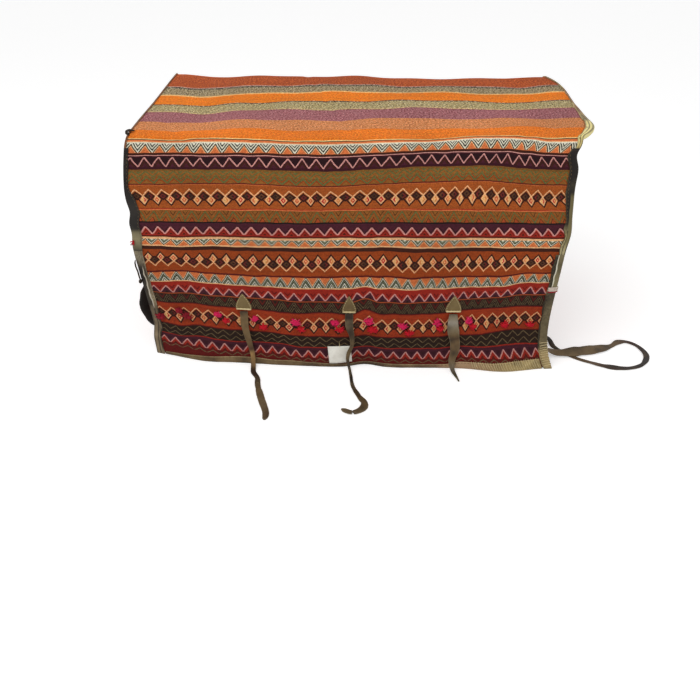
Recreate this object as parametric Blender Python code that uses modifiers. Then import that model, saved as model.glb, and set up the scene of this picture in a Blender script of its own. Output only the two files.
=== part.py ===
# A woven bedding bag standing upside down: its mouth is on the floor and its striped base is on top.
# One woven length makes the front, the base and the back. Two end panels close it, and leather
# strips bind every seam. Metres, +Z up, the front faces -Y, the origin is under the middle.

import math

import bmesh
import bpy
from mathutils import Vector

# The bag's own sizes
bag_length = 1.000
bag_depth = 0.600
bag_height = 0.570
fold_radius = 0.022
cloth_thick = 0.004
end_cloth_thick = 0.003
end_inset = 0.025

# Leather and the clearances between pieces that touch
leather_thick = 0.002
seat_gap = 0.0004
patch_gap = 0.0003
end_gap = 0.0007
edge_gap = 0.0010
butt_gap = 0.0006

# Seam bindings
binding_face = 0.0225
binding_inner_face = 0.0190
binding_split_height = 0.300
rim_height = 0.018
rim_end_gap = 0.0005

# House-shaped patches that hold the ties
patch_width = 0.042
patch_height = 0.043
patch_shoulder = 0.020
patch_thick = 0.0024
patch_hem_height = 0.150
patch_edge = 0.0006
patch_centres = (-0.2645, -0.0105, 0.2505)

# Ties and the loop at the right end
tie_thick = 0.0030
tie_root_width = 0.020
tie_step = 0.013
floor_rest = 0.0004
loop_thick = 0.0032
loop_root_width = 0.018
loop_step = 0.013
loop_hem_height = 0.052
loop_patch_height = 0.034
loop_patch_width = 0.112
loop_patch_from_front = 0.078
loop_root_spread = 0.068
loop_drop_reach = 0.017
loop_drop_share = 0.62

# The stiff leather handle at the left end
handle_width = 0.026
handle_thick = 0.0036
handle_from_front = 0.050
handle_top = 0.236
handle_foot = 0.052
handle_seat = 0.026
handle_bow = 0.047
handle_step = 0.012
handle_bend_steps = 8
handle_swell_power = 0.75
handle_seat_share = 0.35

# How the soft bag has slumped out of square, and how far it is moved so that its box is centred
centre_shift = -0.005
right_flare = 0.049
right_waist = 0.0225
waist_fall_power = 4.26
left_bulge = 0.024
left_bulge_power = 1.7
mouth_spread = 0.036
left_corner_draw = 0.075
back_mouth_spread = 0.028
rear_skew = 0.019
rear_draw = 0.004
flare_start = 0.100
flare_end = 0.460
seam_band = 0.012

# How finely the cloth is divided
wall_steps = 12
base_steps = 12
fold_steps = 6
length_steps = 16

cloth_red = (0.36, 0.10, 0.045, 1.0)
end_red = (0.30, 0.07, 0.035, 1.0)
hide_brown = (0.135, 0.088, 0.042, 1.0)
hide_tan = (0.32, 0.215, 0.105, 1.0)
hide_dark = (0.045, 0.030, 0.020, 1.0)

half_length = bag_length / 2
half_depth = bag_depth / 2
handle_centre = handle_from_front - half_depth
loop_patch_centre = loop_patch_from_front - half_depth
stack_depth = cloth_thick + end_cloth_thick + 3 * seat_gap


def clear_scene():
    for thing in list(bpy.data.objects):
        bpy.data.objects.remove(thing, do_unlink=True)


def make_collection(name):
    made = bpy.data.collections.new(name)
    bpy.context.scene.collection.children.link(made)
    return made


def make_material(name, colour, roughness):
    made = bpy.data.materials.new(name)
    made.use_nodes = True
    shader = made.node_tree.nodes["Principled BSDF"]
    shader.inputs["Base Color"].default_value = colour
    shader.inputs["Roughness"].default_value = roughness
    shader.inputs["Metallic"].default_value = 0.0
    made.diffuse_color = colour
    return made


def clamp(value):
    return max(0.0, min(1.0, value))


def ease(value):
    value = clamp(value)
    return value * value * (3.0 - 2.0 * value)


def waist_share(high):
    """How much of the waist shows at a share of the height: all of it low down, none at the foot and the top."""
    peak = 1.0 / (1.0 + waist_fall_power)
    return high * (1.0 - high) ** waist_fall_power / (peak * (1.0 - peak) ** waist_fall_power)


def settle(point):
    """Moves a point of the squared-up bag to where it lies on the slumped one. Heights stay as they are."""
    x, y, z = point
    across = x / half_length
    deep = max(-1.0, min(1.0, y / (half_depth - seam_band)))
    high = clamp(z / bag_height)
    low = (1.0 - high) ** 1.5
    if x > 0.0:
        reach = ease((x - flare_start) / (flare_end - flare_start))
        roundness = 1.0 - abs(deep) ** (3.0 if deep < 0.0 else 2.0)
        flare = right_flare * roundness * high ** 1.5
        waist = right_waist * waist_share(high)
        shift_x = (flare - waist) * reach
    else:
        reach = ease((-x - flare_start) / (flare_end - flare_start))
        shift_x = -left_bulge * math.sin(math.pi * high ** left_bulge_power) * reach
    leftward = clamp((1.0 - across) / 2)
    if deep < 0.0:
        spread = left_corner_draw * leftward ** 4.5 - mouth_spread
        shift_y = spread * low * -deep
    else:
        rear = (rear_skew * -across - rear_draw) * high * deep
        shift_y = rear + back_mouth_spread * low * deep
    return Vector((x + shift_x + centre_shift, y + shift_y, z))


def spaced(start, end, count):
    return [start + (end - start) * index / count for index in range(count + 1)]


def wall_heights(foot_height):
    fold_height = bag_height - fold_radius
    return [foot_height] + spaced(rim_height + edge_gap, fold_height, wall_steps - 1)


def lay_on_cloth(point):
    """Where a point on a wall lies between the cloth's own rows, which are straight from one to the next."""
    x, y, z = point
    heights = wall_heights(leather_thick + edge_gap)
    below = max([height for height in heights if height <= z] or heights[:1])
    above = min([height for height in heights if height > z] or heights[-1:])
    if above <= below:
        return settle(point)
    share = (z - below) / (above - below)
    spot = settle((x, y, below)).lerp(settle((x, y, above)), share)
    return Vector((spot.x, spot.y, z))


def length_stations():
    """Places along the bag where the main cloth and the long mouth bindings both have a row of points."""
    reach = half_length - end_inset - rim_end_gap
    return spaced(-reach, reach, length_steps)


def profile_points(foot_height):
    """The bag's outline across its depth, from the front mouth edge over the base to the back mouth edge.
    Each entry is the outline point (y, z) and the outward direction there."""
    fold_height = bag_height - fold_radius
    fold_depth = half_depth - fold_radius
    points = []
    for z in wall_heights(foot_height):
        points.append(((-half_depth, z), (-1.0, 0.0)))
    for index in range(1, fold_steps + 1):
        turn = math.pi / 2 * index / fold_steps
        out = (-math.cos(turn), math.sin(turn))
        spot = (-fold_depth + fold_radius * out[0], fold_height + fold_radius * out[1])
        points.append((spot, out))
    for y in spaced(-fold_depth, fold_depth, base_steps)[1:]:
        points.append(((y, bag_height), (0.0, 1.0)))
    for index in range(1, fold_steps + 1):
        turn = math.pi / 2 * index / fold_steps
        out = (math.sin(turn), math.cos(turn))
        spot = (fold_depth + fold_radius * out[0], fold_height + fold_radius * out[1])
        points.append((spot, out))
    for z in reversed(wall_heights(foot_height)[:-1]):
        points.append(((half_depth, z), (1.0, 0.0)))
    return points


def offset_point(entry, distance):
    (y, z), (out_y, out_z) = entry
    return (y + out_y * distance, z + out_z * distance)


def place(piece, collection, material):
    piece.data.materials.append(material)
    collection.objects.link(piece)
    return piece


def grid_piece(name, rows, thickness, collection, material):
    """An open cloth surface through rows of points, thickened away from its normals."""
    mesh = bpy.data.meshes.new(name)
    width = len(rows[0])
    corners = [spot for row in rows for spot in row]
    faces = []
    for row in range(len(rows) - 1):
        for column in range(width - 1):
            first = row * width + column
            faces.append((first, first + 1, first + width + 1, first + width))
    mesh.from_pydata(corners, [], faces)
    mesh.update()
    piece = place(bpy.data.objects.new(name, mesh), collection, material)
    thicken(piece, thickness)
    for face in mesh.polygons:
        face.use_smooth = True
    return piece


def thicken(piece, thickness):
    solid = piece.modifiers.new("Cloth thickness", "SOLIDIFY")
    solid.thickness = thickness
    solid.offset = -1.0
    solid.use_even_offset = True
    return solid


def loft_piece(name, loops, collection, material, smooth=False):
    """A closed solid bridged through loops of equally many points and capped at both ends."""
    build = bmesh.new()
    rings = [[build.verts.new(spot) for spot in loop] for loop in loops]
    for near, far in zip(rings, rings[1:]):
        for index in range(len(near)):
            after = (index + 1) % len(near)
            build.faces.new((near[index], near[after], far[after], far[index]))
    build.faces.new(list(reversed(rings[0])))
    build.faces.new(rings[-1])
    bmesh.ops.recalc_face_normals(build, faces=build.faces)
    mesh = bpy.data.meshes.new(name)
    build.to_mesh(mesh)
    build.free()
    for face in mesh.polygons:
        face.use_smooth = smooth
    return place(bpy.data.objects.new(name, mesh), collection, material)


def make_main_cloth(collection, material):
    foot = leather_thick + edge_gap
    edge = half_length - leather_thick - edge_gap
    rows = []
    for x in [-edge] + length_stations() + [edge]:
        rows.append([settle((x, y, z)) for (y, z), out in profile_points(foot)])
    return grid_piece("main_cloth", list(reversed(rows)), cloth_thick, collection, material)


def make_end_panel(name, side, collection, material):
    """A tray of cloth: the panel itself, and its margin turned outward under the main cloth's edge."""
    foot = leather_thick + edge_gap
    under = -(cloth_thick + seat_gap)
    outline = [offset_point(entry, under) for entry in profile_points(foot)]
    panel_x = half_length - end_inset
    margin_x = half_length - leather_thick - edge_gap
    middle_x = (panel_x + margin_x) / 2
    corner = wall_steps + fold_steps // 2
    top_count = fold_steps + base_steps
    left = outline[: corner + 1]
    top = outline[corner : corner + top_count + 1]
    right = list(reversed(outline[corner + top_count :]))
    bottom = [
        (left[0][0] + (right[0][0] - left[0][0]) * index / top_count, left[0][1])
        for index in range(top_count + 1)
    ]
    build = bmesh.new()
    inner = []
    for row in range(corner + 1):
        line = []
        up = row / corner
        for column in range(top_count + 1):
            along = column / top_count
            spot = []
            for axis in (0, 1):
                sides = (1 - along) * left[row][axis] + along * right[row][axis]
                ends = (1 - up) * bottom[column][axis] + up * top[column][axis]
                corners = (1 - along) * (1 - up) * left[0][axis] + along * (1 - up) * right[0][axis]
                corners += (1 - along) * up * top[0][axis] + along * up * top[-1][axis]
                spot.append(sides + ends - corners)
            line.append(build.verts.new(settle((side * panel_x, spot[0], spot[1]))))
        inner.append(line)
    for low, high in zip(inner, inner[1:]):
        for index in range(top_count):
            build.faces.new((low[index], low[index + 1], high[index + 1], high[index]))
    edge = [line[0] for line in inner] + inner[-1][1:-1] + [line[-1] for line in reversed(inner)]
    for reach in (middle_x, margin_x):
        outer = [build.verts.new(settle((side * reach, y, z))) for y, z in outline]
        for index in range(len(outline) - 1):
            build.faces.new((edge[index], edge[index + 1], outer[index + 1], outer[index]))
        edge = outer
    bmesh.ops.recalc_face_normals(build, faces=build.faces)
    build.verts.index_update()
    panel_face = next(iter(inner[corner // 2][top_count // 2].link_faces))
    if panel_face.normal.x * side > 0.0:
        bmesh.ops.reverse_faces(build, faces=build.faces)
    mesh = bpy.data.meshes.new(name)
    build.to_mesh(mesh)
    build.free()
    for face in mesh.polygons:
        face.use_smooth = True
    piece = place(bpy.data.objects.new(name, mesh), collection, material)
    thicken(piece, end_cloth_thick)
    return piece


def channel_section(face, inner_face, stack):
    """The leather folded round a seam, as (distance back from the folded edge, distance outward)."""
    out = seat_gap + leather_thick
    back = stack + leather_thick
    ease_in = leather_thick * 0.9
    return [
        (face, out),
        (ease_in * 1.6, out),
        (ease_in * 0.45, out - ease_in * 0.55),
        (0.0, out - ease_in * 1.7),
        (0.0, ease_in * 1.7 - back),
        (ease_in * 0.45, ease_in * 0.55 - back),
        (ease_in * 1.6, -back),
        (inner_face, -back),
        (inner_face, -stack),
        (leather_thick, -stack),
        (leather_thick, seat_gap),
        (face, seat_gap),
    ]


def make_binding(name, side, entries, collection, material):
    """A leather strip folded round the seam of an end, along part of the bag's outline."""
    section = channel_section(binding_face, binding_inner_face, stack_depth - seat_gap)
    loops = []
    for entry in entries:
        loop = []
        for back, out in section:
            y, z = offset_point(entry, out)
            loop.append(settle((side * (half_length - back), y, z)))
        loops.append(loop)
    return loft_piece(name, loops, collection, material)


def make_end_bindings(side_name, side, collection, upper, lower, base):
    outline = profile_points(0.0)
    fold_start = bag_height - fold_radius
    front_wall = outline[: wall_steps + 1]
    back_wall = list(reversed(outline[-(wall_steps + 1) :]))
    over = outline[wall_steps + 1 : len(outline) - wall_steps - 1]
    for wall_name, wall, out in (("front", front_wall, -1.0), ("back", back_wall, 1.0)):
        split_low = ((out * half_depth, binding_split_height), (out, 0.0))
        split_high = ((out * half_depth, binding_split_height + butt_gap), (out, 0.0))
        top = ((out * half_depth, fold_start), (out, 0.0))
        low = [entry for entry in wall if entry[0][1] < binding_split_height] + [split_low]
        high = [e for e in wall if binding_split_height + butt_gap < e[0][1] < fold_start - butt_gap]
        high = [split_high] + high + [top]
        make_binding(f"{side_name}_{wall_name}_lower_binding", side, low, collection, lower)
        make_binding(f"{side_name}_{wall_name}_upper_binding", side, high, collection, upper)
    first = ((-half_depth, fold_start + butt_gap), (-1.0, 0.0))
    last = ((half_depth, fold_start + butt_gap), (1.0, 0.0))
    make_binding(f"{side_name}_base_binding", side, [first] + over + [last], collection, base)


def make_long_rim(name, out_side, collection, material):
    section = channel_section(rim_height, rim_height, cloth_thick + seat_gap)
    loops = []
    for x in length_stations():
        loops.append([settle((x, out_side * (half_depth + out), z)) for z, out in section])
    return loft_piece(name, loops, collection, material)


def make_end_rim(name, side, collection, material):
    reach = half_depth - stack_depth - leather_thick - rim_end_gap
    outer_x = half_length - end_inset + end_cloth_thick
    section = channel_section(rim_height, rim_height, end_cloth_thick + seat_gap)
    loops = []
    for y in spaced(-reach, reach, base_steps):
        loops.append([settle((side * (outer_x + out), y, z)) for z, out in section])
    return loft_piece(name, loops, collection, material)


def house_outline(width, height, shoulder):
    half = width / 2
    return [
        (-half, 0.0),
        (half, 0.0),
        (half, shoulder),
        (half * 0.62, (shoulder + height) / 2),
        (0.0, height),
        (-half * 0.62, (shoulder + height) / 2),
        (-half, shoulder),
    ]


def add_bevel(piece, width):
    rounding = piece.modifiers.new("Worn edge", "BEVEL")
    rounding.width = width
    rounding.segments = 1
    rounding.limit_method = "ANGLE"
    return rounding


def make_patch(name, centre, out_side, collection, material):
    """A leather patch sewn on a long wall, its point upward and its hem over the tie's root."""
    near = half_depth + patch_gap
    far = near + patch_thick
    loops = []
    for depth in (near, far):
        loop = []
        for across, up in house_outline(patch_width, patch_height, patch_shoulder):
            loop.append(lay_on_cloth((centre + across, out_side * depth, patch_hem_height + up)))
        loops.append(loop)
    piece = loft_piece(name, loops, collection, material)
    add_bevel(piece, patch_edge)
    return piece


def make_loop_patch(collection, material):
    """The leather pad on the right end panel that the loop's two ends are sewn under."""
    near = half_length - end_inset + end_cloth_thick + end_gap
    far = near + patch_thick
    low = loop_patch_centre - loop_patch_width / 2
    high = loop_patch_centre + loop_patch_width / 2
    top = loop_hem_height + loop_patch_height
    loops = []
    for depth in (near, far):
        corners = [(low, loop_hem_height), (high, loop_hem_height), (high, top), (low, top)]
        loops.append([lay_on_cloth((depth, y, z)) for y, z in corners])
    piece = loft_piece("right_loop_patch", loops, collection, material)
    add_bevel(piece, patch_edge)
    return piece


def smooth_route(points, step):
    """Stations on a smooth curve through the chosen points, whose first three values are x, y and z."""
    padded = [points[0]] + list(points) + [points[-1]]
    stations = []
    for before, start, end, after in zip(padded, padded[1:], padded[2:], padded[3:]):
        gap = (Vector(end[:3]) - Vector(start[:3])).length
        count = max(1, round(gap / step))
        for index in range(count):
            t = index / count
            row = []
            for p, a, b, q in zip(before, start, end, after):
                rise = (b - p) * t + (2 * p - 5 * a + 4 * b - q) * t * t
                row.append(0.5 * (2 * a + rise + (3 * a - p - 3 * b + q) * t ** 3))
            stations.append(row)
    stations.append(list(points[-1]))
    return stations


def strap_loop(centre, wide, thin, width, thick):
    half = width / 2
    shoulder = max(half - thick / 2, half * 0.4)
    shape = [(-half, 0.0), (-shoulder, -thick / 2), (shoulder, -thick / 2)]
    shape += [(half, 0.0), (shoulder, thick / 2), (-shoulder, thick / 2)]
    return [centre + wide * across + thin * up for across, up in shape]


def strap_loops(stations, thick, wide_of, round_start=True, round_end=False):
    """The sections of a flat strap along its stations (x, y, z, width, twist in degrees)."""
    spots = [Vector(row[:3]) for row in stations]
    loops = []
    for index, row in enumerate(stations):
        ahead = spots[min(index + 1, len(spots) - 1)]
        behind = spots[max(index - 1, 0)]
        along = (ahead - behind).normalized()
        wide = wide_of(along)
        wide = (wide - along * wide.dot(along)).normalized()
        thin = along.cross(wide)
        twist = math.radians(row[4])
        turned = wide * math.cos(twist) + thin * math.sin(twist)
        thin = along.cross(turned)
        if index == 0 and round_start:
            for turn in (18.0, 45.0, 70.0):
                angle = math.radians(turn)
                centre = spots[0] - along * (thick / 2 * math.cos(angle))
                loops.append(strap_loop(centre, turned, thin, row[3], thick * math.sin(angle)))
        loops.append(strap_loop(spots[index], turned, thin, row[3], thick))
        if index == len(spots) - 1 and round_end:
            for turn in (70.0, 45.0, 18.0):
                angle = math.radians(turn)
                centre = spots[-1] + along * (thick / 2 * math.cos(angle))
                loops.append(strap_loop(centre, turned, thin, row[3], thick * math.sin(angle)))
    return loops


def wall_across(centre, out_side):
    """The level direction along a long wall where a patch is sewn."""
    half = patch_width / 2
    low = settle((centre - half, out_side * half_depth, patch_hem_height))
    high = settle((centre + half, out_side * half_depth, patch_hem_height))
    return (high - low).normalized()


def tie_root(centre, out_side):
    """Where a tie leaves its patch: the middle of its rounded end, just under the hem."""
    across = wall_across(centre, out_side)
    outward = Vector((-across.y, across.x, 0.0)) * out_side
    stand = seat_gap + tie_thick / 2
    wall = settle((centre, out_side * half_depth, patch_hem_height - stand))
    return wall + outward * stand


# Each tie's route: sideways from its patch, out from the wall, height, width. Heights of zero lie on the floor.
left_tie_route = [
    (0.000, 0.0035, 0.112, 0.018),
    (0.004, 0.0045, 0.084, 0.017),
    (0.010, 0.0055, 0.056, 0.014),
    (0.015, 0.0075, 0.030, 0.012),
    (0.0165, 0.0200, 0.0070, 0.012),
    (0.0190, 0.0440, 0.0, 0.0145),
    (0.031, 0.070, 0.0, 0.013),
    (0.036, 0.105, 0.0, 0.014),
    (0.050, 0.160, 0.0, 0.017),
    (0.065, 0.212, 0.0, 0.017),
    (0.064, 0.240, 0.0, 0.011),
]
middle_tie_route = [
    (0.0005, 0.0035, 0.114, 0.019),
    (0.006, 0.0045, 0.092, 0.015),
    (0.007, 0.0055, 0.066, 0.010),
    (-0.001, 0.0065, 0.044, 0.010),
    (-0.004, 0.0085, 0.026, 0.008),
    (0.001, 0.0200, 0.0060, 0.007),
    (0.004, 0.0420, 0.0, 0.008),
    (0.009, 0.088, 0.0, 0.010),
    (0.023, 0.128, 0.0, 0.013),
    (0.036, 0.156, 0.0, 0.018),
    (0.030, 0.180, 0.0, 0.019),
    (0.006, 0.193, 0.0, 0.018),
    (-0.018, 0.180, 0.0, 0.012),
]
right_tie_route = [
    (0.0005, 0.0035, 0.116, 0.027),
    (0.004, 0.0045, 0.094, 0.027),
    (0.008, 0.0065, 0.072, 0.026),
    (0.008, 0.0070, 0.050, 0.023),
    (0.003, 0.0085, 0.028, 0.018),
    (0.004, 0.0190, 0.0080, 0.012),
    (0.010, 0.0380, 0.0, 0.008),
    (0.015, 0.062, 0.0, 0.004),
]
back_tie_route = [
    (0.000, 0.0035, 0.112, 0.020),
    (0.002, 0.0045, 0.084, 0.019),
    (0.004, 0.0055, 0.056, 0.017),
    (0.005, 0.0080, 0.030, 0.015),
    (0.006, 0.0210, 0.0070, 0.014),
    (0.008, 0.0440, 0.0, 0.015),
    (0.014, 0.090, 0.0, 0.016),
    (0.022, 0.140, 0.0, 0.015),
    (0.024, 0.170, 0.0, 0.009),
]


def make_tie(name, centre, out_side, route, mirror, collection, material):
    """A leather tie that hangs from its patch down the wall and lies out on the floor."""
    root = tie_root(centre, out_side)
    foot = settle((centre, out_side * half_depth, 0.0))
    points = [(root.x, root.y, root.z, tie_root_width, 0.0)]
    for across, away, height, width in route:
        x = root.x + mirror * across
        if height > 0.0:
            wall = settle((x, out_side * half_depth, height))
            y = wall.y + out_side * away
        else:
            y = foot.y + out_side * away
            height = tie_thick / 2 + floor_rest
        points.append((x, y, height, width, 0.0))
    stations = smooth_route(points, tie_step)
    for row in stations:
        row[2] = max(row[2], tie_thick / 2 + floor_rest)
    across = wall_across(centre, out_side)

    def along_wall(along):
        return across

    loops = strap_loops(stations, tie_thick, along_wall)
    return loft_piece(name, loops, collection, material, smooth=True)


def loop_root(spread_sign):
    y = loop_patch_centre + spread_sign * loop_root_spread / 2
    wall_x = half_length - end_inset + end_cloth_thick
    height = loop_hem_height - seat_gap - loop_thick / 2
    wall = lay_on_cloth((wall_x, y, height))
    return Vector((wall.x + end_gap + loop_thick / 2, wall.y, height))


# The loop's route on the floor: x, y, lift over the strand below, width, twist
loop_route = [
    (0.5105, -0.210, 0.010, 0.014, 0.0),
    (0.5205, -0.236, 0.000, 0.013, 0.0),
    (0.5365, -0.262, 0.000, 0.012, 0.0),
    (0.5585, -0.287, 0.000, 0.011, 0.0),
    (0.5865, -0.308, 0.000, 0.011, 0.0),
    (0.6185, -0.325, 0.000, 0.016, 0.0),
    (0.6515, -0.338, 0.000, 0.018, 0.0),
    (0.6865, -0.341, 0.000, 0.014, 0.0),
    (0.7205, -0.328, 0.000, 0.012, 0.0),
    (0.7435, -0.300, 0.000, 0.015, 0.0),
    (0.7505, -0.268, 0.000, 0.014, 0.0),
    (0.7405, -0.234, 0.000, 0.011, 0.0),
    (0.7185, -0.214, 0.000, 0.012, 0.0),
    (0.6945, -0.218, 0.000, 0.017, 0.0),
    (0.6725, -0.236, 0.000, 0.011, 0.0),
    (0.6445, -0.252, 0.0005, 0.020, 0.0),
    (0.6125, -0.265, 0.0036, 0.024, 0.0),
    (0.5805, -0.274, 0.0042, 0.025, 0.0),
    (0.5485, -0.279, 0.0042, 0.024, 0.0),
    (0.5205, -0.279, 0.0040, 0.021, 0.0),
    (0.4985, -0.278, 0.012, 0.020, 0.0),
]


def make_right_loop(collection, material):
    """The long leather loop that is sewn under its patch by both ends and lies on the floor, crossing itself once."""
    first = loop_root(1.0)
    last = loop_root(-1.0)
    rest = loop_thick / 2 + floor_rest
    points = [(first.x, first.y, first.z, loop_root_width, 0.0)]
    drop = first.z * loop_drop_share
    points.append((first.x + loop_drop_reach, first.y, drop, loop_root_width, 0.0))
    for x, y, lift, width, twist in loop_route:
        points.append((x, y, rest + lift, width, twist))
    points.append((last.x + loop_drop_reach, last.y, drop, loop_root_width, 0.0))
    points.append((last.x, last.y, last.z, loop_root_width, 0.0))
    stations = smooth_route(points, loop_step)
    for row in stations:
        row[2] = max(row[2], rest)

    def level_side(along):
        return along.cross(Vector((0.0, 0.0, 1.0)))

    loops = strap_loops(stations, loop_thick, level_side, round_end=True)
    return loft_piece("right_end_loop", loops, collection, material, smooth=True)


def make_left_handle(collection, material):
    """The stiff leather handle, sewn flat by both ends to the left panel and bowed clear between them."""
    wall_x = half_length - end_inset + end_cloth_thick
    seat = wall_x + end_gap + handle_thick / 2
    span = handle_top - handle_foot
    near = handle_seat * handle_seat_share
    points = [(seat, handle_top + handle_seat), (seat, handle_top + near)]
    for index in range(handle_bend_steps + 1):
        share = index / handle_bend_steps
        swell = math.sin(math.pi * share) ** handle_swell_power
        points.append((seat + handle_bow * swell, handle_top - span * share))
    points += [(seat, handle_foot - near), (seat, handle_foot - handle_seat)]
    route = []
    for out, height in points:
        spot = lay_on_cloth((-out, handle_centre, height))
        route.append((spot.x, spot.y, spot.z, handle_width, 0.0))
    stations = smooth_route(route, handle_step)

    def depthways(along):
        return Vector((0.0, 1.0, 0.0))

    loops = strap_loops(stations, handle_thick, depthways, round_start=False)
    return loft_piece("left_end_handle", loops, collection, material, smooth=True)


def build_bag():
    clear_scene()
    parts = make_collection("mafrash_bag")
    cloth = make_material("woven_cloth", cloth_red, 0.9)
    end_cloth = make_material("end_cloth", end_red, 0.9)
    brown = make_material("brown_leather", hide_brown, 0.6)
    tan = make_material("tan_leather", hide_tan, 0.6)
    dark = make_material("dark_leather", hide_dark, 0.5)
    make_main_cloth(parts, cloth)
    for side_name, side, base in (("left", -1.0, dark), ("right", 1.0, tan)):
        make_end_panel(f"{side_name}_end_panel", side, parts, end_cloth)
        make_end_bindings(side_name, side, parts, brown, tan if side > 0.0 else brown, base)
        make_end_rim(f"{side_name}_mouth_binding", side, parts, brown)
    for wall_name, out_side in (("front", -1.0), ("back", 1.0)):
        make_long_rim(f"{wall_name}_mouth_binding", out_side, parts, brown)
    names = ("left", "middle", "right")
    front_routes = (left_tie_route, middle_tie_route, right_tie_route)
    for name, centre, route in zip(names, patch_centres, front_routes):
        make_patch(f"front_{name}_patch", centre, -1.0, parts, brown)
        make_tie(f"front_{name}_tie", centre, -1.0, route, 1.0, parts, brown)
    for name, centre, mirror in zip(names, patch_centres, (1.0, -1.0, -1.0)):
        make_patch(f"back_{name}_patch", centre, 1.0, parts, brown)
        make_tie(f"back_{name}_tie", centre, 1.0, back_tie_route, mirror, parts, brown)
    make_loop_patch(parts, dark)
    make_right_loop(parts, dark)
    make_left_handle(parts, dark)


build_bag()
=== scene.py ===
import math
import random

import bmesh
import bpy
import numpy as np
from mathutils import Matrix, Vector


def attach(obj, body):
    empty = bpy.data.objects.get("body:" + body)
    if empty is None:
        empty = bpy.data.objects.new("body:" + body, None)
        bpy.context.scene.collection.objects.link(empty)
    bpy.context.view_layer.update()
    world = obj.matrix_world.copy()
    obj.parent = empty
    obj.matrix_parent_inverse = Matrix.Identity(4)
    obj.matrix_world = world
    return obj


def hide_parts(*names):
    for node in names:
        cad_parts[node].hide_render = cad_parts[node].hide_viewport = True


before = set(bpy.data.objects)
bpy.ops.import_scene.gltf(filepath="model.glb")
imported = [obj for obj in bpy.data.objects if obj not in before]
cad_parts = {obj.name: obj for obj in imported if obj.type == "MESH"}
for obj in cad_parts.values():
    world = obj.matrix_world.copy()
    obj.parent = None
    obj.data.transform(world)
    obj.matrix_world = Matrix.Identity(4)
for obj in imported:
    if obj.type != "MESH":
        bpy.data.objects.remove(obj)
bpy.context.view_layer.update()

# The bag's own shape, as in the solid model, in metres
bag = {
    "length": 1.0,
    "depth": 0.6,
    "height": 0.57,
    "fold": 0.022,
    "seamBand": 0.012,
    "centreShift": -0.005,
    "rightFlare": 0.049,
    "rightWaist": 0.0225,
    "waistFall": 4.26,
    "leftBulge": 0.024,
    "leftBulgePower": 1.7,
    "mouthSpread": 0.036,
    "leftCornerDraw": 0.075,
    "backSpread": 0.028,
    "rearSkew": 0.019,
    "rearDraw": 0.004,
    "flareStart": 0.10,
    "flareEnd": 0.46,
    "rearRise": 0.006,
    "rearFlare": 0.034,
}
halfLength = bag["length"] / 2
halfDepth = bag["depth"] / 2
wallTop = bag["height"] - bag["fold"]  # where each wall starts to turn over
foldArc = bag["fold"] * math.pi / 2
baseStart = wallTop + foldArc
baseEnd = baseStart + bag["depth"] - 2 * bag["fold"]
clothLength = baseEnd + foldArc + wallTop
leatherThick = 0.002
clothThick = 0.004
endInset = 0.025
endThick = 0.003
endFace = halfLength - endInset + endThick
gap = 0.0004

# Where the two front edges are pinched or pushed: height, spread and how far to the right
edgePushes = {
    "right": [(0.350, 0.030, 0.0045), (0.532, 0.022, -0.011), (0.460, 0.050, -0.0045)],
    "left": [(0.398, 0.025, 0.011), (0.345, 0.025, 0.006)],
}
edges = {
    "start": 0.30, "span": 0.15, "upperDent": 0.004, "upperStart": 0.40, "upperSpan": 0.04, "foot": 0.010,
    "footTop": 0.10, "footSpan": 0.06
}


def ease(value):
    value = np.clip(value, 0.0, 1.0)
    return value * value * (3.0 - 2.0 * value)


def bump(x, middle, spread):
    return np.exp(-(((x - middle) / spread) ** 2))


def waistShare(high):  # how much of the waist shows at a share of the height
    fall = bag["waistFall"]
    peak = 1.0 / (1.0 + fall)
    return high * (1.0 - high) ** fall / (peak * (1.0 - peak) ** fall)


def pushed(z, pushes):
    return sum(far * bump(z, height, spread) for height, spread, far in pushes)


def settle(x, y, z):  # a place on the squared-up bag, moved to where it lies on the slumped one
    across = x / halfLength
    deep = np.clip(y / (halfDepth - bag["seamBand"]), -1.0, 1.0)
    high = np.clip(z / bag["height"], 0.0, 1.0)
    low = (1.0 - high) ** 1.5
    start, span = bag["flareStart"], bag["flareEnd"] - bag["flareStart"]
    roundness = 1.0 - np.abs(deep) ** np.where(deep < 0.0, 3.0, 2.0)
    flare = bag["rightFlare"] * roundness + bag["rearFlare"] * ease((deep + 0.1) / 1.1)
    rightShift = (flare * high ** 1.5 - bag["rightWaist"] * waistShare(high)) * ease((x - start) / span)
    leftShift = -bag["leftBulge"] * np.sin(np.pi * high ** bag["leftBulgePower"]) * ease((-x - start) / span)
    nearFront = np.clip(-deep, 0.0, 1.0) ** 4
    rightShift = rightShift + pushed(z, edgePushes["right"]) * nearFront * ease((x - edges["start"]) / edges["span"])
    dent = pushed(z, edgePushes["left"]) + edges["upperDent"] * ease((z - edges["upperStart"]) / edges["upperSpan"])
    dent = dent - edges["foot"] * ease((edges["footTop"] - z) / edges["footSpan"])
    leftShift = leftShift + dent * nearFront * ease((-x - edges["start"]) / edges["span"])
    leftward = np.clip((1.0 - across) / 2, 0.0, 1.0)
    spread = bag["leftCornerDraw"] * leftward ** 4.5 - bag["mouthSpread"]
    rear = (bag["rearSkew"] * -across - bag["rearDraw"]) * high * deep + bag["backSpread"] * low * deep
    shiftX = np.where(x > 0.0, rightShift, leftShift) + bag["centreShift"]
    shiftY = np.where(deep < 0.0, spread * low * -deep, rear)
    rise = bag["rearRise"] * ease((y + 0.05) / 0.33) * high ** 6
    return np.stack([x + shiftX, y + shiftY, z + rise], axis=-1)


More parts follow.
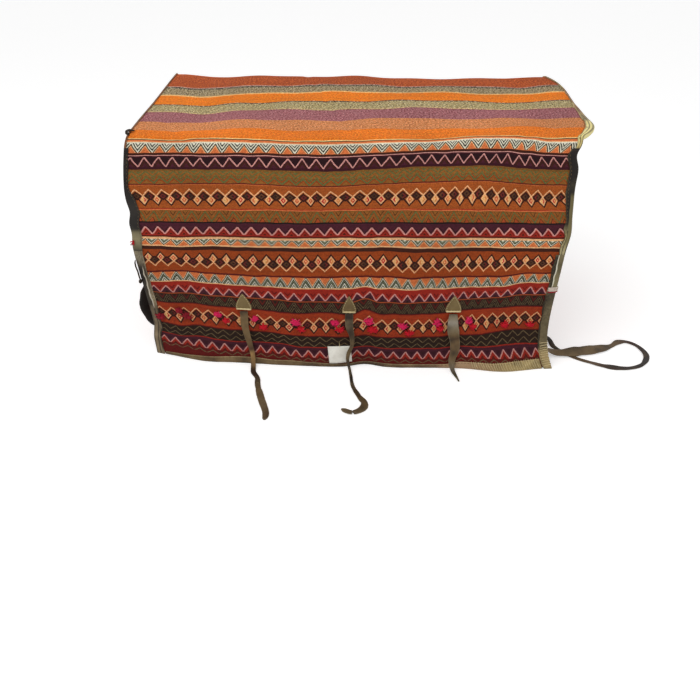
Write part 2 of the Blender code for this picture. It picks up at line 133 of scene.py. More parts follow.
def profile(v):  # the outline over the bag: (y, z) and the outward direction, v from the front mouth edge
    v = np.asarray(v, dtype=float)
    frontTurn = np.clip((v - wallTop) / bag["fold"], 0.0, np.pi / 2)
    backTurn = np.clip((v - baseEnd) / bag["fold"], 0.0, np.pi / 2)
    outY = -np.cos(frontTurn) + np.sin(backTurn)
    outZ = np.sin(frontTurn) - (1.0 - np.cos(backTurn))
    flat = np.clip(v - baseStart, 0.0, baseEnd - baseStart)
    y = -halfDepth + bag["fold"] + flat + bag["fold"] * outY
    low = np.minimum(v, np.where(v > clothLength / 2, clothLength - v, v))
    z = np.where(outZ > 1e-6, wallTop + bag["fold"] * outZ, low)
    return y, z, outY, outZ


slack = {"depth": 0.0040, "edge": 0.478, "edgeFade": 0.09, "foot": 0.018, "footFade": 0.06, "mouth": 0.13}
swells = [  # height, waves across and along the cloth, start
    (0.0022, 9.0, 7.0, 0.7), (0.0016, 21.0, -12.0, 2.1), (0.0009, 43.0, 17.0, 0.4), (0.0007, 31.0, -38.0, 1.3),
]
creases = [  # depth, place across and its weight, place along and its weight, width
    (0.0022, -0.30, 0.9, 0.42, 0.45, 0.010), (0.0020, 0.21, 0.8, 0.36, -0.6, 0.012),
    (0.0016, 0.02, 0.97, 0.50, 0.22, 0.009),
]
mouthPushes = [(0.375, 0.075, 0.018), (-0.370, 0.055, 0.009), (0.030, 0.040, -0.015)]  # place, spread, how far out


def waves(x, v):  # how far the slack cloth lies in from its outline
    wall = np.minimum(v, clothLength - v)
    free = ease((slack["edge"] - np.abs(x)) / slack["edgeFade"]) * ease((wall - slack["foot"]) / slack["footFade"])
    swell = sum(high * np.sin(acrossRate * x + alongRate * v + start) for high, acrossRate, alongRate, start in swells)
    crease = 0.0
    for deep, placeX, weightX, placeV, weightV, width in creases:
        crease = crease + deep * np.exp(-(((x - placeX) * weightX + (v - placeV) * weightV) / width) ** 2)
    return (swell - slack["depth"] - crease) * free + pushed(x, mouthPushes) * ease(
        (slack["mouth"] - v) / slack["mouth"]
    )


def clothPoint(x, v, lift=0.0):  # a point on the main cloth, lift metres out from its face
    x, v = np.broadcast_arrays(np.asarray(x, dtype=float), np.asarray(v, dtype=float))
    y, z, outY, outZ = profile(v)
    out = lift + waves(x, v)
    spot = settle(x, y + outY * lift, z + outZ * lift)
    spot[..., 1] += outY * (out - lift)
    spot[..., 2] += outZ * (out - lift)
    return spot


def srgb(red, green, blue):  # a colour written as on a screen, 0 to 255
    shares = [c / 255.0 for c in (red, green, blue)]
    return tuple(c / 12.92 if c <= 0.04045 else ((c + 0.055) / 1.055) ** 2.4 for c in shares) + (1.0,)


# Node helpers
def addNode(tree, kind, **settings):
    node = tree.nodes.new(kind)
    for key, value in settings.items():
        setattr(node, key, value)
    return node


def feed(tree, socket, value):
    if hasattr(value, "is_output"):
        tree.links.new(value, socket)
    else:
        socket.default_value = value


def calc(tree, operation, *values):
    node = addNode(tree, "ShaderNodeMath", operation=operation)
    for socket, value in zip(node.inputs, values):
        feed(tree, socket, value)
    return node.outputs[0]


def blendColour(tree, factor, first, second, kind="MIX"):
    node = addNode(tree, "ShaderNodeMix", data_type="RGBA", blend_type=kind)
    feed(tree, node.inputs["Factor"], factor)
    feed(tree, node.inputs["A"], first)
    feed(tree, node.inputs["B"], second)
    return node.outputs["Result"]


def ramp(tree, value, stops, smooth=False):
    node = addNode(tree, "ShaderNodeValToRGB")
    band = node.color_ramp
    band.interpolation = "LINEAR" if smooth else "CONSTANT"
    for index, (place, colour) in enumerate(stops):
        stop = band.elements[index] if index < 2 else band.elements.new(place)
        stop.position = place
        stop.color = colour if len(colour) == 4 else (*colour, 1.0)
    feed(tree, node.inputs["Fac"], value)
    return node.outputs["Color"]


def noise(tree, place, scale, detail=2.0, rough=0.5):
    node = addNode(tree, "ShaderNodeTexNoise")
    feed(tree, node.inputs["Vector"], place)
    node.inputs["Scale"].default_value = scale
    node.inputs["Detail"].default_value = detail
    node.inputs["Roughness"].default_value = rough
    return node.outputs["Fac"]


def rescale(tree, value, low, high, toLow, toHigh):
    node = addNode(tree, "ShaderNodeMapRange")
    for socket, number in zip(node.inputs, (value, low, high, toLow, toHigh)):
        feed(tree, socket, number)
    return node.outputs["Result"]


def newGroup(name, inputs, outputs):
    group = bpy.data.node_groups.new(name, "ShaderNodeTree")
    for label, kind, start in inputs:
        socket = group.interface.new_socket(name=label, in_out="INPUT", socket_type="NodeSocket" + kind)
        if start is not None:
            socket.default_value = start
    for label, kind in outputs:
        group.interface.new_socket(name=label, in_out="OUTPUT", socket_type="NodeSocket" + kind)
    return group, addNode(group, "NodeGroupInput").outputs, addNode(group, "NodeGroupOutput").inputs


def useGroup(tree, group, **values):
    node = addNode(tree, "ShaderNodeGroup", node_tree=group)
    for label, value in values.items():
        feed(tree, node.inputs[label], value)
    return node.outputs


plainGloss = 0.25  # wool, leather and paper all shine little


def newMaterial(name, roughness):
    material = bpy.data.materials.new(name)
    material.use_nodes = True
    tree = material.node_tree
    shader = tree.nodes["Principled BSDF"]
    shader.inputs["Roughness"].default_value = roughness
    shader.inputs["Specular IOR Level"].default_value = plainGloss
    return material, tree, shader


def putBump(tree, shader, height, distance, strength):
    raised = addNode(tree, "ShaderNodeBump")
    raised.inputs["Strength"].default_value = strength
    raised.inputs["Distance"].default_value = distance
    tree.links.new(height, raised.inputs["Height"])
    tree.links.new(raised.outputs["Normal"], shader.inputs["Normal"])


# Stage, camera and light
stage = {
    "lens": 39.09,
    "sensor": 36.0,
    "place": (-0.0135, -1.935, 1.052),
    "tiltDegrees": 58.0,
    "worldLevel": 0.62,
    "aim": (0.0, 0.0, 0.25),
    "floorReach": 14.0,
    "floorColour": (0.86, 0.86, 0.86, 1.0),
    "floorGlow": 0.40,
}
lamps = {  # place, size, watts
    "keyLamp": ((-1.1, -1.5, 2.6), 2.2, 34.0),
    "fillLamp": ((2.0, -1.6, 1.3), 2.0, 9.0),
}
pureWhite = (1.0, 1.0, 1.0, 1.0)


def makeStage():
    lens = bpy.data.cameras.new("photoCamera")
    lens.lens = stage["lens"]
    lens.sensor_width = stage["sensor"]
    camera = bpy.data.objects.new("photoCamera", lens)
    camera.location = stage["place"]
    camera.rotation_euler = (math.radians(stage["tiltDegrees"]), 0.0, 0.0)
    bpy.context.scene.collection.objects.link(camera)
    bpy.context.scene.camera = camera
    for name, (place, size, watts) in lamps.items():
        lamp = bpy.data.lights.new(name, "AREA")
        lamp.size = size
        lamp.energy = watts
        holder = bpy.data.objects.new(name, lamp)
        holder.location = place
        holder.rotation_euler = (Vector(stage["aim"]) - Vector(place)).to_track_quat("-Z", "Y").to_euler()
        bpy.context.scene.collection.objects.link(holder)
    mesh = bpy.data.meshes.new("studioFloor")
    reach = stage["floorReach"]
    mesh.from_pydata(
        [(-reach, -reach, 0.0), (reach, -reach, 0.0), (reach, reach, 0.0), (-reach, reach, 0.0)], [],
        [(0, 1, 2, 3)]
    )
    floor = bpy.data.objects.new("studioFloor", mesh)
    bpy.context.scene.collection.objects.link(floor)
    material, tree, shader = newMaterial("studioFloorPaint", 0.9)
    shader.inputs["Base Color"].default_value = stage["floorColour"]
    seen = addNode(tree, "ShaderNodeLightPath")
    glow = addNode(tree, "ShaderNodeEmission")
    glow.inputs["Color"].default_value = pureWhite
    tree.links.new(calc(tree, "MULTIPLY", seen.outputs["Is Camera Ray"], stage["floorGlow"]), glow.inputs["Strength"])
    both = addNode(tree, "ShaderNodeAddShader")
    tree.links.new(shader.outputs[0], both.inputs[0])
    tree.links.new(glow.outputs[0], both.inputs[1])
    tree.links.new(both.outputs[0], tree.nodes["Material Output"].inputs["Surface"])
    mesh.materials.append(material)
    world = bpy.data.worlds.new("studioWorld")
    bpy.context.scene.world = world
    world.use_nodes = True
    sky = world.node_tree
    back = sky.nodes["Background"]
    back.inputs["Color"].default_value = pureWhite
    path = addNode(sky, "ShaderNodeLightPath")
    seen = calc(sky, "MAXIMUM", path.outputs["Is Camera Ray"], path.outputs["Is Glossy Ray"])
    seen = calc(sky, "MAXIMUM", seen, path.outputs["Is Transmission Ray"])
    sky.links.new(rescale(sky, seen, 0.0, 1.0, stage["worldLevel"], 1.0), back.inputs["Strength"])
    bpy.context.scene.view_settings.view_transform = "Standard"


makeStage()
print("stage and camera stand")


# Node groups that several materials share
figurePhase = 0.079  # how far along the cloth the figures start
threadSlant = 0.55


def makeThreads():  # raised yarns in slanted rows, as in a wrapped weave
    group, given, out = newGroup(
        "threads",
        [("Across", "Float", None), ("Along", "Float", None), ("Stitch", "Float", 0.0022), ("Row", "Float", 0.0017)],
        [("Height", "Float"), ("Shade", "Float")],
    )
    rowPlace = calc(group, "DIVIDE", given["Along"], given["Row"])
    rowIndex = calc(group, "FLOOR", rowPlace)
    slant = calc(group, "PINGPONG", rowPlace, 1.0)
    stitchPlace = calc(group, "DIVIDE", given["Across"], given["Stitch"])
    stitchPlace = calc(group, "ADD", stitchPlace, calc(group, "MULTIPLY", slant, threadSlant))
    yarn = calc(group, "ABSOLUTE", calc(group, "SINE", calc(group, "MULTIPLY", stitchPlace, math.pi)))
    rowRound = calc(group, "ABSOLUTE", calc(group, "SINE", calc(group, "MULTIPLY", rowPlace, math.pi)))
    height = calc(group, "MULTIPLY", calc(group, "POWER", rowRound, 0.6), calc(group, "MULTIPLY_ADD", yarn, 0.55, 0.45))
    group.links.new(height, out["Height"])
    cell = addNode(group, "ShaderNodeCombineXYZ")
    group.links.new(calc(group, "FLOOR", stitchPlace), cell.inputs[0])
    group.links.new(rowIndex, cell.inputs[1])
    chance = addNode(group, "ShaderNodeTexWhiteNoise", noise_dimensions="2D")
    group.links.new(cell.outputs[0], chance.inputs["Vector"])
    group.links.new(chance.outputs["Value"], out["Shade"])
    return group


def makeZigzag():  # where a point lies in a band, and how far above or below its zigzag line
    group, given, out = newGroup(
        "zigzagField",
        [
            ("Across", "Float", None), ("Height", "Float", None), ("Low", "Float", 0.0), ("High", "Float", 1.0),
            ("Period", "Float", 0.032)
        ],
        [("Inside", "Float"), ("Rise", "Float"), ("Peak", "Float"), ("Field", "Float")],
    )
    span = calc(group, "SUBTRACT", given["High"], given["Low"])
    rise = calc(group, "DIVIDE", calc(group, "SUBTRACT", given["Height"], given["Low"]), span)
    turns = calc(group, "DIVIDE", calc(group, "ADD", given["Across"], figurePhase), given["Period"])
    peak = calc(group, "PINGPONG", calc(group, "MULTIPLY_ADD", turns, 2.0, 1.0), 1.0)
    inside = calc(group, "MULTIPLY", calc(group, "GREATER_THAN", rise, 0.0), calc(group, "LESS_THAN", rise, 1.0))
    field = calc(group, "MULTIPLY_ADD", calc(group, "SUBTRACT", rise, peak), 0.5, 0.5)
    for label, value in (("Inside", inside), ("Rise", rise), ("Peak", peak), ("Field", field)):
        group.links.new(value, out[label])
    return group


diamondShape = {  # as shares of the band's height; rings: middle, half height, which way along, half width
    "dark": (0.53, 0.20, 1.0, 0.86),
    "held": (0.38, 0.21, 0.0, 0.56),
    "lowerLine": (0.13, 0.45, 0.045),
    "upperLine": (0.55, 0.81, 0.028),
}
figureBlack = srgb(52, 22, 14)
centreTones = {
    "dark": [(0.0, srgb(118, 40, 34)), (0.28, srgb(92, 58, 34)), (0.55, srgb(76, 44, 28)), (0.80, srgb(104, 60, 38))],
    "held": [
        (0.0, srgb(226, 104, 56)), (0.30, srgb(248, 186, 112)), (0.48, srgb(206, 44, 44)),
        (0.72, srgb(236, 142, 70))
    ],
}


def makeDiamonds(zigzag):  # one row of dark diamonds under a zigzag, with outlined diamonds hung in its valleys
    group, given, out = newGroup(
        "diamondRow",
        [
            ("Across", "Float", None),
            ("Height", "Float", None),
            ("Low", "Float", 0.0),
            ("High", "Float", 1.0),
            ("Period", "Float", 0.032),
            ("Upside", "Float", 0.0),
            ("Ground", "Color", srgb(160, 78, 34)),
            ("Line", "Color", srgb(235, 165, 115)),
        ],
        [("Colour", "Color"), ("Inside", "Float")],
    )
    inner = useGroup(
        group, zigzag, Across=given["Across"], Height=given["Height"], Low=given["Low"], High=given["High"],
        Period=given["Period"]
    )
    flip = calc(group, "SUBTRACT", 1.0, inner["Rise"])
    plain = calc(group, "SUBTRACT", 1.0, given["Upside"])
    rise = calc(
        group, "ADD", calc(group, "MULTIPLY", inner["Rise"], plain),
        calc(group, "MULTIPLY", flip, given["Upside"])
    )
    hung = calc(group, "SUBTRACT", 1.0, inner["Peak"])
    peak = calc(
        group, "ADD", calc(group, "MULTIPLY", inner["Peak"], plain),
        calc(group, "MULTIPLY", hung, given["Upside"])
    )
    turns = calc(group, "DIVIDE", calc(group, "ADD", given["Across"], figurePhase), given["Period"])
    chance = addNode(group, "ShaderNodeTexWhiteNoise", noise_dimensions="1D")
    group.links.new(calc(group, "FLOOR", calc(group, "MULTIPLY", turns, 2.0)), chance.inputs["W"])
    pick = chance.outputs["Value"]
    darkCentre = ramp(group, pick, centreTones["dark"])
    heldCentre = ramp(group, pick, centreTones["held"])

    def ring(centre, halfHeight, centrePeak, halfWidth):
        upDown = calc(group, "DIVIDE", calc(group, "ABSOLUTE", calc(group, "SUBTRACT", rise, centre)), halfHeight)
        side = calc(group, "DIVIDE", calc(group, "ABSOLUTE", calc(group, "SUBTRACT", peak, centrePeak)), halfWidth)
        return calc(group, "ADD", upDown, side)

    def line(low, high, width):
        level = calc(group, "MULTIPLY_ADD", peak, high - low, low)
        return calc(group, "LESS_THAN", calc(group, "ABSOLUTE", calc(group, "SUBTRACT", rise, level)), width)

    dark, held = ring(*diamondShape["dark"]), ring(*diamondShape["held"])
    colour = blendColour(group, line(*diamondShape["lowerLine"]), given["Ground"], figureBlack)
    colour = blendColour(group, line(*diamondShape["upperLine"]), colour, given["Line"])
    for figure, size, drawn in (
        (dark, 1.0, figureBlack), (dark, 0.58, darkCentre), (dark, 0.24, figureBlack),
        (held, 1.0, given["Line"]), (held, 0.64, heldCentre), (held, 0.22, given["Line"]),
    ):
        colour = blendColour(group, calc(group, "LESS_THAN", figure, size), colour, drawn)
    group.links.new(colour, out["Colour"])
    group.links.new(inner["Inside"], out["Inside"])
    return group


def makeHideSurface():  # tanned hide: mottling, pores and pale worn edges
    group, given, out = newGroup(
        "hideSurface",
        [
            ("Place", "Vector", None), ("Side", "Float", None), ("Wear", "Float", 0.5), ("Base", "Color", None),
            ("Worn", "Color", None), ("Deep", "Color", None)
        ],
        [("Colour", "Color"), ("Height", "Float"), ("Roughness", "Float")],
    )
    slow = noise(group, given["Place"], 16.0, 3.0, 0.6)
    fine = noise(group, given["Place"], 190.0, 3.0, 0.6)
    grain = addNode(group, "ShaderNodeTexVoronoi", feature="DISTANCE_TO_EDGE")
    grain.inputs["Scale"].default_value = 620.0
    group.links.new(given["Place"], grain.inputs["Vector"])
    edge = calc(group, "MULTIPLY", calc(group, "ABSOLUTE", calc(group, "SUBTRACT", given["Side"], 0.5)), 2.0)
    worn = calc(group, "ADD", rescale(group, edge, 0.72, 1.0, 0.0, 0.75), rescale(group, slow, 0.50, 0.72, 0.0, 0.65))
    worn = calc(
        group, "MULTIPLY", calc(group, "MULTIPLY", worn, given["Wear"]),
        rescale(group, fine, 0.30, 0.62, 0.25, 1.15)
    )
    colour = blendColour(group, rescale(group, slow, 0.50, 0.28, 0.0, 0.85), given["Base"], given["Deep"])
    colour = blendColour(group, calc(group, "MINIMUM", worn, 0.9), colour, given["Worn"])
    colour = blendColour(group, rescale(group, grain.outputs["Distance"], 0.0, 0.06, 0.30, 0.0), colour, given["Deep"])
    height = calc(
        group, "ADD", calc(group, "MULTIPLY", calc(group, "MINIMUM", grain.outputs["Distance"], 0.12), 3.0),
        calc(group, "MULTIPLY", fine, 0.8)
    )
    group.links.new(colour, out["Colour"])
    group.links.new(height, out["Height"])
    group.links.new(rescale(group, worn, 0.0, 0.8, 0.52, 0.74), out["Roughness"])
    return group


threads = makeThreads()
zigzag = makeZigzag()
diamonds = makeDiamonds(zigzag)
hideSurface = makeHideSurface()

# The woven colours
woolTones = {
    "orange": (240, 122, 22),
    "rust": (176, 78, 34),
    "salmon": (226, 120, 66),
    "peach": (252, 192, 136),
    "cream": (250, 222, 150),
    "pink": (226, 160, 150),
    "dustPink": (222, 156, 146),
    "white": (236, 232, 208),
    "sage": (128, 134, 104),
    "black": (20, 14, 12),
    "blackRed": (40, 12, 18),
    "darkBrown": (66, 28, 14),
    "aubergine": (62, 18, 28),
    "purple": (78, 28, 42),
    "mauve": (160, 92, 96),
    "tan": (214, 132, 74),
    "greyGreen": (150, 128, 88),
    "creamGreen": (178, 156, 102),
    "maroon": (98, 26, 18),
    "red": (170, 42, 26),
    "darkRed": (112, 20, 16),
    "olive": (130, 88, 36),
    "brightOlive": (152, 94, 38),
    "oliveGreen": (104, 106, 56),
    "oliveBlack": (46, 28, 16),
    "greyTan": (118, 98, 68),
    "ground": (164, 70, 22),
    "redGround": (172, 60, 24),
    "paleGround": (174, 86, 32),
}
wool = {name: srgb(*tone) for name, tone in woolTones.items()}

# Lines and grounds up the wall: height in metres where each colour starts
wallGrounds = [
    (0.0, "darkRed"), (0.034, "purple"), (0.058, "red"), (0.0602, "oliveBlack"), (0.088, "darkRed"),
    (0.0905, "redGround"),
    (0.148, "darkRed"), (0.152, "oliveBlack"), (0.180, "rust"), (0.182, "purple"), (0.200, "red"),
    (0.2115, "peach"), (0.2145, "white"), (0.239, "maroon"), (0.2435, "ground"), (0.3045, "darkBrown"),
    (0.3125, "peach"), (0.3170, "salmon"), (0.3328, "peach"), (0.3358, "maroon"), (0.3405, "red"), (0.360, "purple"),
    (0.3725, "black"), (0.3755, "olive"), (0.4025, "salmon"), (0.4050, "red"), (0.4070, "paleGround"),
    (0.4605, "salmon"), (0.4630, "maroon"), (0.4655, "olive"), (0.497, "aubergine"), (0.529, "black"),
]
edgeLines = [
    (0.0, "aubergine"), (0.5285, "pink"), (0.5318, "darkBrown"), (0.5350, "salmon"), (0.5375, "white"),
    (0.5583, "peach"),
    (0.5603, "salmon"), (0.5652, "darkBrown"), (0.5678, "cream"), (0.5726, "orange"),
]
baseStripes = [
    (0.0, "orange"), (0.6386, "tan"), (0.7206, "mauve"), (0.8086, "maroon"), (0.8120, "cream"), (0.8160, "creamGreen"),
    (0.8796, "darkBrown"), (0.8880, "orange"), (0.9656, "cream"), (0.9710, "greyGreen"), (1.0236, "blackRed"),
    (1.0366, "pink"), (1.0420, "rust"), (1.1416, "salmon"), (1.1470, "maroon"),
]
darkFlecks = [
    (0.0, srgb(214, 96, 18)), (0.6386, srgb(168, 92, 54)), (0.7206, srgb(104, 52, 58)), (0.8160, srgb(60, 50, 34)),
    (0.8880, srgb(226, 108, 16)), (0.9710, srgb(56, 46, 34)), (1.0420, srgb(128, 46, 20)),
]
paleFlecks = [
    (0.0, srgb(252, 150, 50)), (0.6386, srgb(240, 176, 124)), (0.7206, srgb(208, 150, 152)),
    (0.8160, srgb(232, 220, 176)),
    (0.8880, srgb(254, 156, 44)), (0.9710, srgb(222, 208, 172)), (1.0420, srgb(224, 116, 56)),
]
# Bands of nested zigzags: low, high, period, and colours from deep inside the upright triangles to above the line
zigzagBands = [
    (
        0.5375, 0.5583, 0.0323,
        [
            (0.0, "salmon"), (0.32, "peach"), (0.38, "black"), (0.48, "white"), (0.58, "black"), (0.68, "white"),
            (0.78, "black"), (0.87, "white")
        ]
    ),
    (
        0.5052, 0.5263, 0.0323,
        [(0.0, "purple"), (0.20, "darkBrown"), (0.34, "aubergine"), (0.45, "dustPink"), (0.555, "blackRed")]
    ),
    (
        0.4672, 0.4815, 0.0323,
        [
            (0.0, "brightOlive"), (0.30, "ground"), (0.42, "oliveGreen"), (0.62, "ground"), (0.74, "oliveGreen"),
            (0.88, "brightOlive")
        ]
    ),
    (
        0.4825, 0.4955, 0.0323,
        [(0.0, "oliveGreen"), (0.16, "brightOlive"), (0.42, "oliveGreen"), (0.58, "brightOlive"), (0.76, "oliveGreen")]
    ),
    (
        0.3765, 0.4015, 0.0323,
        [
            (0.0, "rust"), (0.18, "darkBrown"), (0.23, "brightOlive"), (0.37, "ground"), (0.43, "oliveGreen"),
            (0.57, "ground"), (0.63, "brightOlive"), (0.77, "darkBrown"), (0.82, "brightOlive")
        ]
    ),
    (
        0.3445, 0.3633, 0.0312,
        [
            (0.0, "darkBrown"), (0.14, "red"), (0.26, "maroon"), (0.33, "red"), (0.42, "dustPink"),
            (0.56, "aubergine"), (0.72, "purple")
        ]
    ),
    (
        0.3175, 0.3325, 0.0312,
        [
            (0.0, "salmon"), (0.40, "peach"), (0.47, "black"), (0.57, "white"), (0.66, "black"), (0.74, "sage"),
            (0.88, "white")
        ]
    ),
    (
        0.2155, 0.2390, 0.0306,
        [
            (0.0, "white"), (0.10, "black"), (0.17, "white"), (0.24, "black"), (0.31, "sage"), (0.37, "black"),
            (0.44, "white"), (0.50, "black"), (0.57, "peach"), (0.62, "salmon")
        ]
    ),
    (
        0.1840, 0.2025, 0.0306,
        [(0.0, "oliveBlack"), (0.16, "purple"), (0.43, "dustPink"), (0.55, "red"), (0.74, "darkRed"), (0.86, "red")]
    ),
    (
        0.1540, 0.1790, 0.0306,
        [
            (0.0, "oliveBlack"), (0.20, "greyTan"), (0.25, "oliveBlack"), (0.36, "greyTan"), (0.41, "oliveBlack"),
            (0.52, "greyTan"), (0.57, "oliveBlack"), (0.70, "maroon"), (0.82, "oliveBlack")
        ]
    ),
    (0.0750, 0.0870, 0.0306, [(0.0, "oliveBlack"), (0.44, "greyTan"), (0.54, "oliveBlack")]),
    (0.0620, 0.0735, 0.0306, [(0.0, "oliveBlack"), (0.44, "greyTan"), (0.54, "oliveBlack")]),
    (
        0.0315, 0.0515, 0.0306,
        [(0.0, "maroon"), (0.20, "red"), (0.42, "dustPink"), (0.54, "purple"), (0.74, "aubergine")]
    ),
    (0.0205, 0.0300, 0.0306, [(0.0, "darkRed"), (0.40, "greyTan"), (0.54, "darkRed"), (0.72, "maroon")]),
]
diamondBands = [
    (0.408, 0.4630, 0.0323, 0.0, "paleGround", "peach"),
    (0.2440, 0.3040, 0.0306, 1.0, "ground", "peach"),
    (0.0910, 0.1475, 0.0306, 0.0, "redGround", "peach"),
]


weave = {
    "stitch": 0.0022, "row": 0.0017, "endStitch": 0.0024, "endRow": 0.0019, "stepAcross": 0.0011,
    "stepAlong": 0.00085
}
wallSpan = 0.6  # the cloth's heights are divided by these to lie on a colour ramp
clothSpan = 1.2


def placed(stops, span):  # stops in metres and wool names, as a ramp takes them
    return [(start / span, wool[colour] if isinstance(colour, str) else colour) for start, colour in stops]


def clothPlace(tree):
    uv = addNode(tree, "ShaderNodeUVMap", uv_map="weave")
    parts = addNode(tree, "ShaderNodeSeparateXYZ")
    tree.links.new(uv.outputs[0], parts.inputs[0])
    return uv.outputs[0], parts.outputs[0], parts.outputs[1]


def wobble(tree, place, scale, amount):
    return calc(tree, "MULTIPLY", calc(tree, "SUBTRACT", noise(tree, place, scale, 1.0), 0.5), amount)


# wool colour with random tone and fading, plus painted light: painted shade in the grooves between yarns, painted shade
# darkening the lower walls and a painted highlight on the top of the bag
def woolToneAndPaintedLight(tree, shader, colour, place, across, along, stitch, row):
    woven = useGroup(tree, threads, Across=across, Along=along, Stitch=stitch, Row=row)
    faded = noise(tree, place, 5.0, 3.0, 0.6)
    streak = addNode(tree, "ShaderNodeVectorMath", operation="MULTIPLY")
    tree.links.new(place, streak.inputs[0])
    streak.inputs[1].default_value = (2.0, 170.0, 1.0)
    dyeLot = noise(tree, streak.outputs[0], 1.0, 2.0)
    level = calc(
        tree, "MULTIPLY", rescale(tree, faded, 0.25, 0.75, 0.86, 1.12),
        rescale(tree, dyeLot, 0.25, 0.75, 0.88, 1.10)
    )
    level = calc(tree, "MULTIPLY", level, rescale(tree, woven["Shade"], 0.0, 1.0, 0.74, 1.22))
    # painted shade in the grooves between the raised yarns
    level = calc(tree, "MULTIPLY", level, rescale(tree, woven["Height"], 0.0, 0.6, 0.55, 1.06))
    # painted shade: the walls and end panels darken towards the floor
    level = calc(tree, "MULTIPLY", level, rescale(tree, along, 0.05, 0.52, 0.70, 1.0))
    # painted highlight: the top of the bag (the base, and the back wall beyond it) is brightened by 12%
    level = calc(tree, "MULTIPLY", level, rescale(tree, along, 0.56, 0.60, 1.0, 1.12))
    tone = addNode(tree, "ShaderNodeCombineColor")
    for socket in tone.inputs[:3]:
        tree.links.new(level, socket)
    tree.links.new(blendColour(tree, 1.0, colour, tone.outputs[0], "MULTIPLY"), shader.inputs["Base Color"])
    putBump(tree, shader, calc(tree, "ADD", woven["Height"], calc(tree, "MULTIPLY", faded, 2.0)), 0.0009, 0.8)


def snapped(tree, value, place, scale, amount, step):  # a place along the yarns, uneven and in whole stitches
    return calc(tree, "SNAP", calc(tree, "ADD", value, wobble(tree, place, scale, amount)), step)


def drawZigzags(tree, colour, wide, height, bands):
    for low, high, period, colours in bands:
        field = useGroup(tree, zigzag, Across=wide, Height=height, Low=low, High=high, Period=period)
        colour = blendColour(tree, field["Inside"], colour, ramp(tree, field["Field"], placed(colours, 1.0)))
    return colour


def makeMainWeave():
    material, tree, shader = newMaterial("wovenWool", 0.95)
    place, across, along = clothPlace(tree)
    wide = snapped(tree, across, place, 38.0, 0.0050, weave["stepAcross"])
    length = snapped(tree, along, place, 24.0, 0.0040, weave["stepAlong"])
    wall = calc(tree, "MINIMUM", length, calc(tree, "SUBTRACT", clothLength, length))
    share = calc(tree, "DIVIDE", wall, wallSpan)
    grounds = ramp(tree, share, placed(wallGrounds, wallSpan))
    lines = ramp(tree, share, placed(edgeLines, wallSpan))
    colour = blendColour(tree, calc(tree, "GREATER_THAN", wall, edgeLines[1][0]), grounds, lines)
    colour = drawZigzags(tree, colour, wide, wall, zigzagBands)
    for low, high, period, upside, ground, line in diamondBands:
        row = useGroup(
            tree, diamonds, Across=wide, Height=wall, Low=low, High=high,
            Period=period, Upside=upside, Ground=wool[ground], Line=wool[line],
        )
        colour = blendColour(tree, row["Inside"], colour, row["Colour"])
    baseShare = calc(tree, "DIVIDE", length, clothSpan)
    stripes = ramp(tree, baseShare, placed(baseStripes, clothSpan))
    onBase = calc(tree, "MULTIPLY", calc(tree, "GREATER_THAN", length, 0.5726), calc(tree, "LESS_THAN", length, 1.1630))
    # flecks of a darker and a paler yarn in the plain stripes
    slant = addNode(tree, "ShaderNodeCombineXYZ")
    slanted = calc(tree, "ADD", calc(tree, "MULTIPLY", across, 300.0), calc(tree, "MULTIPLY", along, 210.0))
    tree.links.new(slanted, slant.inputs[0])
    tree.links.new(calc(tree, "MULTIPLY", along, 230.0), slant.inputs[1])
    fleck = noise(tree, slant.outputs[0], 1.0, 1.0)
    for flecks, start, end in ((darkFlecks, 0.47, 0.38), (paleFlecks, 0.54, 0.63)):
        yarns = ramp(tree, baseShare, placed(flecks, clothSpan))
        stripes = blendColour(tree, rescale(tree, fleck, start, end, 0.0, 1.0), stripes, yarns)
    colour = blendColour(tree, onBase, colour, stripes)
    woolToneAndPaintedLight(tree, shader, colour, place, across, along, weave["stitch"], weave["row"])
    return material


endGrounds = [
    (0.0, "darkRed"), (0.07, "cream"), (0.075, "rust"), (0.12, "black"), (0.126, "redGround"), (0.20, "peach"),
    (0.206, "aubergine"), (0.262, "pink"), (0.268, "rust"), (0.34, "black"), (0.346, "olive"), (0.388, "salmon"),
    (0.394, "redGround"), (0.47, "cream"), (0.476, "darkBrown"), (0.52, "redGround"), (0.585, "maroon"),
]
endBands = [
    (0.210, 0.258, 0.0440, [(0.0, "darkRed"), (0.20, "red"), (0.44, "pink"), (0.52, "aubergine"), (0.74, "purple")]),
    (
        0.480, 0.516, 0.0400,
        [(0.0, "salmon"), (0.42, "peach"), (0.47, "black"), (0.56, "white"), (0.66, "black"), (0.74, "sage")]
    ),
]


def makeEndWeave():
    material, tree, shader = newMaterial("endWool", 0.95)
    place, across, along = clothPlace(tree)
    height = snapped(tree, along, place, 20.0, 0.0050, weave["stepAlong"])
    wide = snapped(tree, across, place, 38.0, 0.0050, weave["stepAcross"])
    colour = ramp(tree, calc(tree, "DIVIDE", height, wallSpan), placed(endGrounds, wallSpan))
    colour = drawZigzags(tree, colour, wide, height, endBands)
    woolToneAndPaintedLight(tree, shader, colour, place, across, along, weave["endStitch"], weave["endRow"])
    return material
